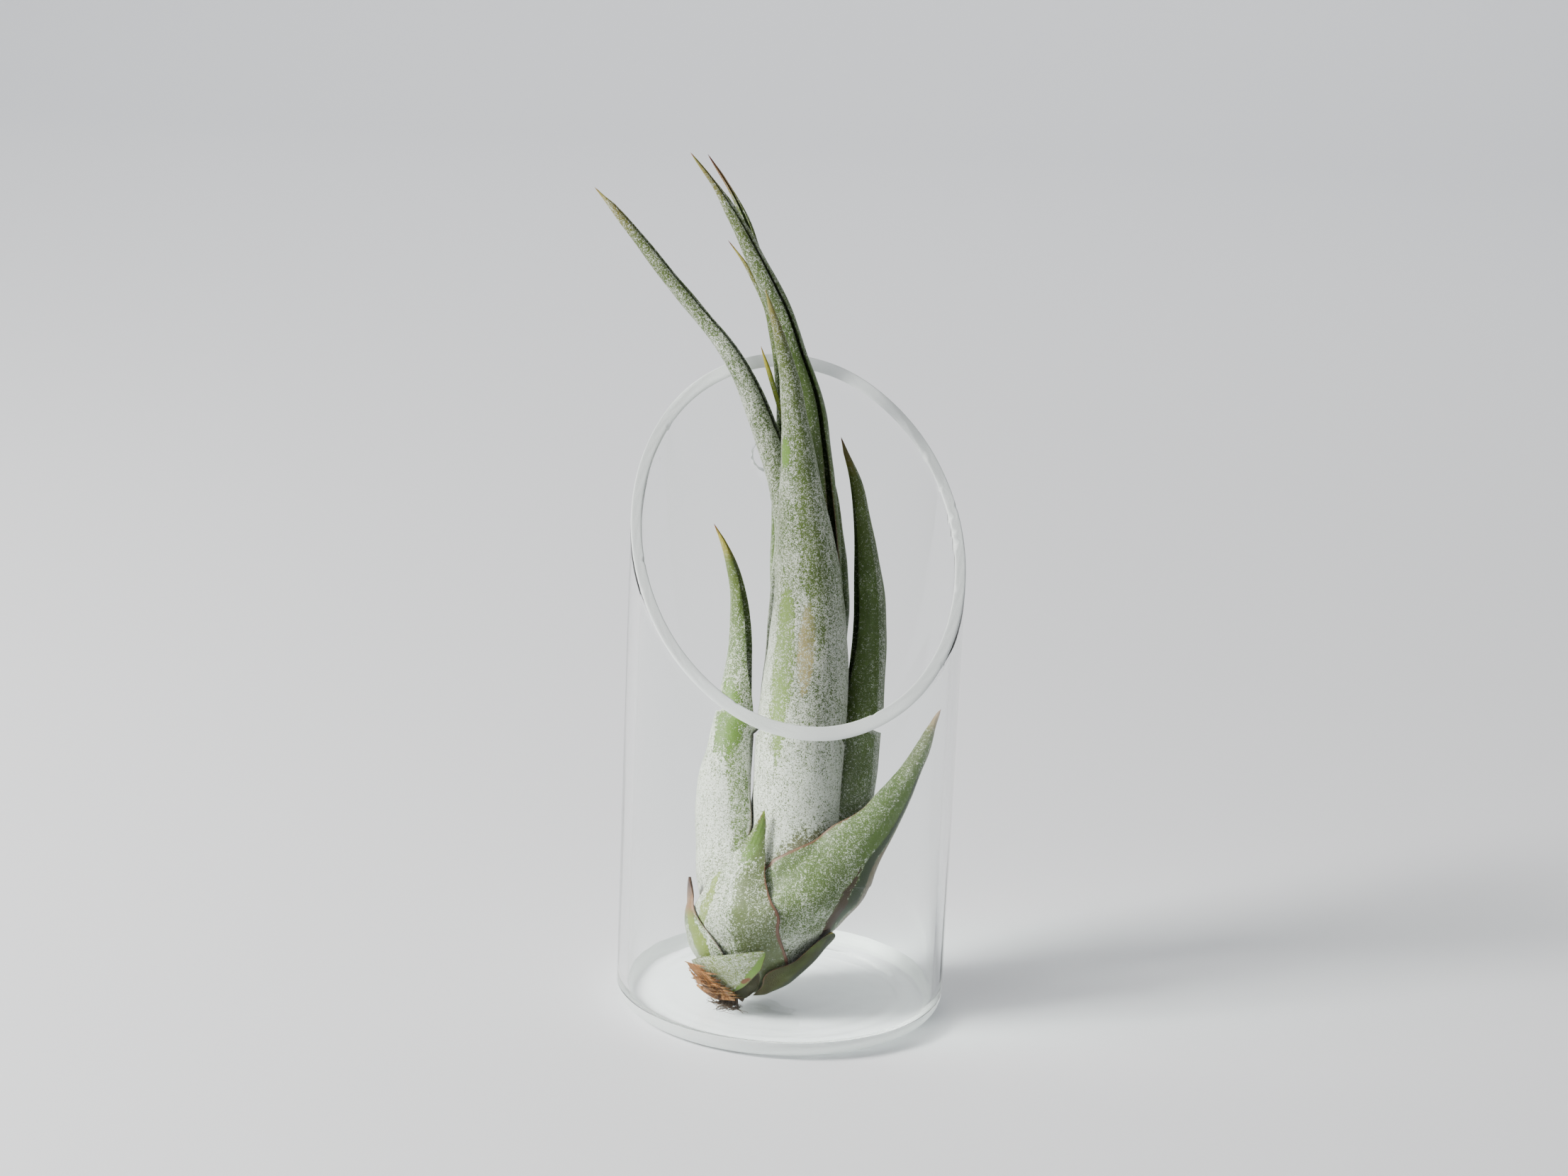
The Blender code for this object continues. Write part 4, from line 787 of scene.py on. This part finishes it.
# the rim's plane rises with the distance from the axis along the slant, and wobbles a little
def rimHeight(radius, angle):
    wobble = 0.00006 * np.sin(5 * angle + 1.0) + 0.00004 * np.sin(11 * angle)
    slope = glass["rimRise"] / glass["radius"]
    return glass["rimMiddle"] + slope * radius * np.sin(angle - math.radians(glass["rimTurn"])) + wobble


# nicks along the rim: a flat-topped bell at each listed angle, with its width in degrees and its depth
def chips(angle, seed, amount):
    value = 0 * angle
    for k, (at, wide, deep) in enumerate(amount):
        gap = (np.degrees(angle) - at + 180) % 360 - 180
        value = value + deep * np.exp(-(gap / wide) ** 4) * (0.75 + 0.25 * np.sin(gap * 2.1 + k + seed))
    return value


rimChips = dict(
    inner=[(8, 1.6, 0.0011), (12, 1.0, 0.0007), (17, 1.2, 0.0009), (27, 0.9, 0.0006),
           (-6, 1.1, 0.0005), (38, 1.3, 0.0007), (150, 1.0, 0.0004), (196, 0.9, 0.0005),
           (250, 0.8, 0.0003), (300, 1.0, 0.0004)],
    outer=[(20, 0.8, 0.0004), (100, 1.0, 0.0004), (205, 0.7, 0.0003), (330, 0.8, 0.0003)],
)


# glass cylinder: rings from the underside round the foot, up the wall, over the slanted rim and down inside
def buildGlass():
    turns, wallRows, sparse = 720, 46, 28
    angle = np.arange(turns) / turns * 2 * math.pi
    r, inside = glass["radius"], glass["radius"] - glass["wall"]
    foot, corner, bevel = glass["footRound"], glass["innerRound"], glass["rimBevel"]
    bend = np.radians(np.linspace(-90, 0, 9))
    reach = np.linspace(0, 1, 14)[1:]
    under = [(t * (r - foot), 0.00025 * (1 - t * t)) for t in reach[:-1]]
    footStart = len(under) + 1
    under += [(r - foot + foot * math.cos(t), foot + foot * math.sin(t)) for t in bend]
    footEnd = len(under) - 1
    turn = np.radians(np.linspace(0, -90, 7))
    flatEnd = inside - corner
    bowl = [(flatEnd + corner * math.cos(t), glass["floor"] + corner * (1 + math.sin(t))) for t in turn]
    flat = [(t * flatEnd, glass["floor"]) for t in np.linspace(1, 0, 46)[1:-1]]
    # up the wall outside and down inside, one row in four below the part that holds the hole and the rim
    share = np.linspace(0, 1, wallRows + 2)[1:-1]
    rising = np.concatenate([share[:sparse:4], share[sparse:]])
    falling = np.concatenate([share[:-sparse], share[3 - sparse::4]])
    outerBevel = bevel + chips(angle, 2.0, rimChips["outer"])
    innerBevel = bevel + chips(angle, 0.0, rimChips["inner"])
    rows = [(radius + 0 * angle, height + 0 * angle) for radius, height in under]
    outerTop = rimHeight(r, angle) - outerBevel
    rows += [(r + 0 * angle, foot + (outerTop - foot) * t) for t in rising]
    rows += [(r + 0 * angle, outerTop), (r - 0.3 * outerBevel, outerTop + 0.7 * outerBevel)]
    rim = len(rows) - 2
    span = r - outerBevel - (inside + innerBevel)
    for t in np.linspace(0, 1, 6):
        radius = r - outerBevel - span * t
        rows.append((radius, rimHeight(radius, angle) + 0.00003 * np.sin(40 * angle + 9 * t)))
    innerTop = rimHeight(inside, angle) - innerBevel * 1.3
    rows += [(inside + 0.3 * innerBevel, innerTop + 0.9 * innerBevel), (inside + 0 * angle, innerTop)]
    rimEnd = len(rows) - 1
    low = glass["floor"] + corner
    rows += [(inside + 0 * angle, innerTop + (low - innerTop) * t) for t in falling]
    rows += [(radius + 0 * angle, height + 0 * angle) for radius, height in bowl]
    for radius, height in flat:
        ring = sum(part * math.exp(-((radius - at) / wide) ** 2) for at, wide, part in glass["ripples"])
        ripple = glass["rippleHeight"] * math.sin(radius / glass["rippleStep"]) * ring
        ripple *= min(1, (flatEnd - radius) / 0.003)
        rows.append((radius + 0 * angle, height + ripple * (1 + 0.4 * np.sin(angle + radius * 300))))
    radii = np.array([row[0] for row in rows])
    heights = np.array([row[1] for row in rows])
    points = np.stack([radii * np.cos(angle), radii * np.sin(angle), heights], axis=-1).reshape(-1, 3)
    points = np.concatenate([points, [[0, 0, 0.00025], [0, 0, glass["floor"]]]])
    quads = gridFaces(len(rows), turns)
    j = np.arange(turns)
    last, pole = (len(rows) - 1) * turns, len(rows) * turns
    fans = np.concatenate([np.stack([pole + 0 * j, (j + 1) % turns, j], axis=-1),
                           np.stack([pole + 1 + 0 * j, last + j, last + (j + 1) % turns], axis=-1)])
    band = np.repeat(np.arange(len(rows) - 1), turns)
    # the foot's rounding takes the pale ground-glass finish as a painted highlight line along the base
    onRim, onFoot = (band >= rim) & (band < rimEnd), (band >= footStart) & (band < footEnd)
    ground = (onRim | onFoot).astype(np.int32)
    slots = np.concatenate([ground, np.zeros(len(fans), np.int32)])
    skins = [clearGlass(), groundGlassAndFootHighlight()]
    piece = makeObject("glass_holder_fine", points, quads, fans, skins, slots)
    cutHole(piece, skins)
    dress(piece, "glass_holder")


# nail hole: a drill with flared, splintered ends, so that both mouths of the hole are chipped
def cutHole(piece, skins):
    sides, rows = 96, 41
    phi = np.arange(sides) / sides * 2 * math.pi
    depth = np.linspace(-0.006, 0.006, rows)
    flare = np.clip((np.abs(depth) - 0.0006) / 0.0006, 0, 1.2)[:, None]
    burst = 0.5 + 0.28 * np.sin(9 * phi + 0.5) * np.sin(5 * phi) + 0.22 * np.sin(17 * phi + 2.0)
    radius = glass["holeRadius"] - 0.00015 + glass["holeChips"] * flare * (0.45 + burst)[None]
    radius = radius + 0.00004 * np.sin(23 * phi)[None] * (1 - flare * 0.5)
    turn = math.radians(glass["holeTurn"])
    out = np.array([-math.sin(turn), math.cos(turn), 0.0])
    side = np.array([math.cos(turn), math.sin(turn), 0.0])
    middle = out * (glass["radius"] - glass["wall"] / 2) + [0, 0, glass["holeHeight"]]
    ring = np.cos(phi)[None, :, None] * side + np.sin(phi)[None, :, None] * np.array([0, 0, 1.0])
    points = (middle + depth[:, None, None] * out + radius[..., None] * ring).reshape(-1, 3)
    j = np.arange(sides)
    last, start, end = (rows - 1) * sides, len(points), len(points) + 1
    points = np.concatenate([points, [middle + out * depth[0], middle + out * depth[-1]]])
    fans = np.concatenate([np.stack([start + 0 * j, (j + 1) % sides, j], axis=-1),
                           np.stack([end + 0 * j, last + j, last + (j + 1) % sides], axis=-1)])
    ground = np.ones(last + len(fans), np.int32)
    drill = makeObject("drill", points, gridFaces(rows, sides), fans, skins, ground)
    step = piece.modifiers.new("hole", "BOOLEAN")
    step.operation, step.solver, step.object = "DIFFERENCE", "EXACT", drill
    bpy.context.view_layer.update()
    cut = bpy.data.meshes.new_from_object(piece.evaluated_get(bpy.context.evaluated_depsgraph_get()))
    piece.modifiers.clear()
    piece.data = cut
    bpy.data.objects.remove(drill, do_unlink=True)


# clear glass with faint upright streaks and smears; shadow rays pass through
def clearGlass():
    net = Net("glassClear")
    spot = net.place()
    smear = net.smooth(net.noise(spot, 38.0, 4.0, 0.6), 0.55, 0.75)
    tall = net.put("ShaderNodeVectorMath", {"operation": "MULTIPLY"}, {0: spot, 1: (1.0, 1.0, 0.12)})
    drawn = net.noise(tall, 70.0, 2.0, 0.4)
    bump = net.put("ShaderNodeBump", {}, {"Height": drawn, "Strength": 0.25, "Distance": 0.0006}, "Normal")
    body = net.shader({
        "Base Color": (0.985, 0.997, 0.992, 1), "Roughness": 0.01 + smear * 0.04, "IOR": 1.34,
        "Transmission Weight": 1.0, "Specular Tint": (0.2, 0.21, 0.205, 1), "Normal": bump,
    })
    passing = net.put("ShaderNodeBsdfTransparent", {}, {"Color": (0.95, 0.97, 0.965, 1)})
    shadow = net.put("ShaderNodeLightPath", {}, {}, "Is Shadow Ray")
    return net.finish(net.put("ShaderNodeMixShader", {}, {0: shadow, 1: body, 2: passing}))


# ground glass of the rim and the hole; on the foot's rounding the same pale finish is a painted highlight
# line
def groundGlassAndFootHighlight():
    net = Net("glassGroundAndFootHighlight")
    spot = net.place()
    grit = net.noise(spot, 2600.0, 2.0, 0.7)
    colour = net.blend(grit, (0.86, 0.93, 0.90), (0.95, 0.99, 0.975))
    bump = net.put("ShaderNodeBump", {}, {"Height": grit, "Strength": 0.5, "Distance": 0.00012}, "Normal")
    return net.finish(net.shader({
        "Base Color": colour, "Roughness": 0.38 + grit * 0.2, "IOR": 1.46, "Transmission Weight": 0.25,
        "Normal": bump,
    }))


buildGlass()
print("scene: glass")


# strands swept along curved paths: points are (strand, step, xyz), radii are (strand, step)
def sweep(paths, radii, sides, guide):
    strands, steps = radii.shape
    ahead = unit(np.gradient(paths, axis=1))
    first = squareTo(np.broadcast_to(guide, ahead.shape), ahead)
    second = np.cross(ahead, first)
    turn = np.arange(sides) / sides * 2 * math.pi
    ring = np.cos(turn)[:, None] * first[:, :, None] + np.sin(turn)[:, None] * second[:, :, None]
    points = (paths[:, :, None] + radii[:, :, None, None] * ring).reshape(-1, 3)
    quads = np.concatenate([gridFaces(steps, sides, k * steps * sides) for k in range(strands)])
    ends = np.concatenate([paths[:, 0], paths[:, -1]])
    j = np.arange(sides)
    fans = []
    for k in range(strands):
        head, tail, base = len(points) + k, len(points) + strands + k, k * steps * sides
        low, high = base + j, base + (steps - 1) * sides + j
        fans.append(np.stack([head + 0 * j, base + (j + 1) % sides, low], axis=-1))
        fans.append(np.stack([tail + 0 * j, high, base + (steps - 1) * sides + (j + 1) % sides], axis=-1))
    return np.concatenate([points, ends]), quads, np.concatenate(fans)


# short stem and the tuft of dry roots that curls out over the glass floor
roots = dict(
    stem=[(0.0022, 0.0029), (0.0029, 0.0027), (0.0036, 0.0021), (0.008, 0.0019), (0.014, 0.0019),
          (0.017, 0.0017), (0.0192, 0.0011), (0.0206, 0.0005)],
    start=0.0029, spread=(-205, -75), reach=(0.0022, 0.0062), curl=0.0012, strands=56, lean=0.0030,
)


# each root goes out along its heading, swings aside by a growing sine and drops to the glass floor
def buildRoots():
    draw = np.random.default_rng(7)
    heights = np.linspace(roots["stem"][0][0], roots["stem"][-1][0], 40)
    lean = roots["lean"] * np.clip(1 - heights / 0.010, 0, 1)
    middle = toWorld(np.column_stack([axisSide(heights) - lean, heights, 0 * heights]))
    thick = through(roots["stem"], heights)[:, 0]
    count, steps = roots["strands"], 40
    t = np.linspace(0, 1, steps)[None]
    heading = np.radians(draw.uniform(*roots["spread"], (count, 1)))
    reach = draw.uniform(*roots["reach"], (count, 1))
    curl = draw.uniform(-1, 1, (count, 1)) * roots["curl"]
    phase, rate = draw.uniform(0, 6.3, (count, 1)), draw.uniform(4, 9, (count, 1))
    start = toWorld(np.array([[axisSide(roots["start"]) - 0.7 * roots["lean"], roots["start"], 0.0008]]))[0]
    along = 0.0008 + reach * t
    aside = curl * np.sin(phase + rate * t) * t * 2
    drop = np.clip(t / draw.uniform(0.16, 0.3, (count, 1)), 0, 1)
    x = start[0] + np.cos(heading) * along - np.sin(heading) * aside
    y = start[1] + np.sin(heading) * along + np.cos(heading) * aside
    lift = draw.uniform(0.00012, 0.0009, (count, 1)) * (1 + np.sin(rate * 1.3 * t + phase)) / 2
    z = start[2] * (1 - drop) + (glass["floor"] + 0.0002 + lift) * drop
    radius = draw.uniform(0.00008, 0.00017, (count, 1)) * (1.15 - 0.75 * t)
    stem = sweep(middle[None], thick[None], 24, (1.0, 0.0, 0.0))
    hairs = sweep(np.stack([x, y, z], axis=-1), radius, 6, (0.0, 0.0, 1.0))
    shift = len(stem[0])
    points = np.concatenate([stem[0], hairs[0]])
    quads = np.concatenate([stem[1], hairs[1] + shift])
    fans = np.concatenate([stem[2], hairs[2] + shift])
    net = Net("rootBark")
    grain = net.noise(net.place(), 1500.0, 3.0, 0.6)
    bark = [(0.3, (0.030, 0.020, 0.012)), (0.55, (0.085, 0.055, 0.034)), (0.8, (0.20, 0.14, 0.09))]
    colour = net.ramp(grain, bark)
    bump = net.put("ShaderNodeBump", {}, {"Height": grain, "Strength": 0.6, "Distance": 0.0001}, "Normal")
    skin = net.finish(net.shader({"Base Color": colour, "Roughness": 0.8, "Normal": bump}))
    dress(makeObject("stem_and_roots_fine", points, quads, fans, [skin]), "stem_and_roots")


buildRoots()
print("scene: stem and roots")


# withered outer scales at the foot: torn papery flakes, rust brown with pale ribs
def drySkin():
    net = Net("dryScale")
    spot = net.place()
    span = net.put("ShaderNodeAttribute", {"attribute_name": "span"}, {}, "Vector")
    along = net.put("ShaderNodeVectorMath", {"operation": "MULTIPLY"}, {0: span, 1: (0.10, 1.0, 0.0)})
    ribs = net.noise(along, 1900.0, 2.0, 0.6)
    patch = net.noise(spot, 330.0, 3.0, 0.6)
    browns = [(0.34, (0.045, 0.016, 0.006)), (0.48, (0.21, 0.085, 0.022)), (0.66, (0.43, 0.21, 0.07))]
    colour = net.ramp(ribs, browns)
    colour = net.blend(net.smooth(patch, 0.52, 0.72) * 0.6, colour, (0.42, 0.27, 0.13))
    colour = net.blend(net.smooth(patch, 0.46, 0.34) * 0.85, colour, (0.045, 0.022, 0.012))
    bump = net.put("ShaderNodeBump", {}, {"Height": ribs, "Strength": 0.7, "Distance": 0.00018}, "Normal")
    return net.finish(net.shader({
        "Base Color": colour, "Roughness": 0.72, "Specular IOR Level": 0.2, "Normal": bump,
    }))


flakes = [
    dict(layer=-1, wall=(0.0003, 0.0002), rows=80, columns=33, sheath=[],
         jag=0.22, swell=0.0005, veins=0.00007,
         blade=[(0.0030, 0.0022, 0, 0.0080, 206, 25), (0.0043, 0.0050, 0, 0.0115, 207, 24),
                (0.0048, 0.0076, 0, 0.0142, 206, 21), (0.0050, 0.0094, 0, 0.0158, 205, 14)]),
    dict(layer=-1, wall=(0.0003, 0.0002), rows=70, columns=33, sheath=[],
         jag=0.3, swell=0.0006, veins=0.00007,
         blade=[(0.0027, 0.0018, 0, 0.0078, 221, 22), (0.0038, 0.0038, 0, 0.0107, 222, 18),
                (0.0045, 0.0060, 0, 0.0133, 221, 13), (0.0048, 0.0080, 0, 0.0154, 220, 7)]),
    dict(layer=-1, wall=(0.0003, 0.0002), rows=60, columns=29, sheath=[],
         jag=0.3, swell=0.0006, veins=0.00007,
         blade=[(0.0032, 0.0024, 0, 0.0086, 185, 13), (0.0042, 0.0046, 0, 0.0114, 186, 12),
                (0.0046, 0.0066, 0, 0.0136, 187, 8), (0.0048, 0.0078, 0, 0.0149, 188, 3)]),
    dict(layer=-1, wall=(0.0002, 0.0001), rows=60, columns=25, sheath=[],
         jag=0.4, swell=0.0006, veins=0.00007,
         blade=[(0.0030, 0.0016, 0, 0.0080, 212, 18), (0.0042, 0.0040, 0, 0.0119, 214, 15),
                (0.0046, 0.0056, 0, 0.0141, 212, 9), (0.0048, 0.0064, 0, 0.0152, 210, 4)]),
    dict(layer=-1, wall=(0.0002, 0.0001), rows=60, columns=25, sheath=[],
         jag=0.4, swell=0.0006, veins=0.00007,
         blade=[(0.0026, 0.0012, 0, 0.0068, 236, 22), (0.0034, 0.0030, 0, 0.0096, 237, 16),
                (0.0039, 0.0044, 0, 0.0116, 235, 9), (0.0042, 0.0052, 0, 0.0126, 233, 4)]),
    dict(layer=-1, wall=(0.0002, 0.0001), rows=60, columns=25, sheath=[],
         jag=0.4, swell=0.0006, veins=0.00007,
         blade=[(0.0026, 0.0010, 0, 0.0064, 200, 24), (0.0032, 0.0024, 0, 0.0092, 198, 18),
                (0.0038, 0.0036, 0, 0.0112, 199, 10), (0.0040, 0.0044, 0, 0.0122, 200, 4)]),
]
parchment = drySkin()
for number, flake in enumerate(flakes):
    buildLeaf(f"dry_scale_{number + 1}", "dry_scales", flake, 3.0 + number, parchment)
print("scene: dry scales")

for number, (name, leaf) in enumerate(leaves.items()):
    buildLeaf(name + "_fine", name, leaf, 11.0 + number, leafSkin(name, leaf["look"]))
print("scene: leaves")


# plain pale floor that rises into a plain back wall
def buildStage():
    bend = np.radians(np.linspace(-90, 0, 25))
    profile = [(-3.0, 0.0), (0.0, 0.0)] + [(1.8 + 1.2 * math.cos(t), 1.2 + 1.2 * math.sin(t)) for t in bend]
    profile.append((3.0, 4.5))
    points = [(x, y, z) for y, z in profile for x in (-4.0, 4.0)]
    faces = [(2 * i, 2 * i + 1, 2 * i + 3, 2 * i + 2) for i in range(len(profile) - 1)]
    mesh = bpy.data.meshes.new("floor")
    mesh.from_pydata(points, [], faces)
    mesh.polygons.foreach_set("use_smooth", np.ones(len(faces), bool))
    net = Net("floorPaper")
    mesh.materials.append(net.finish(net.shader({"Base Color": (0.84, 0.85, 0.87, 1), "Roughness": 0.85})))
    floor = bpy.data.objects.new("floor", mesh)
    bpy.context.scene.collection.objects.link(floor)


buildStage()
print("scene: floor")
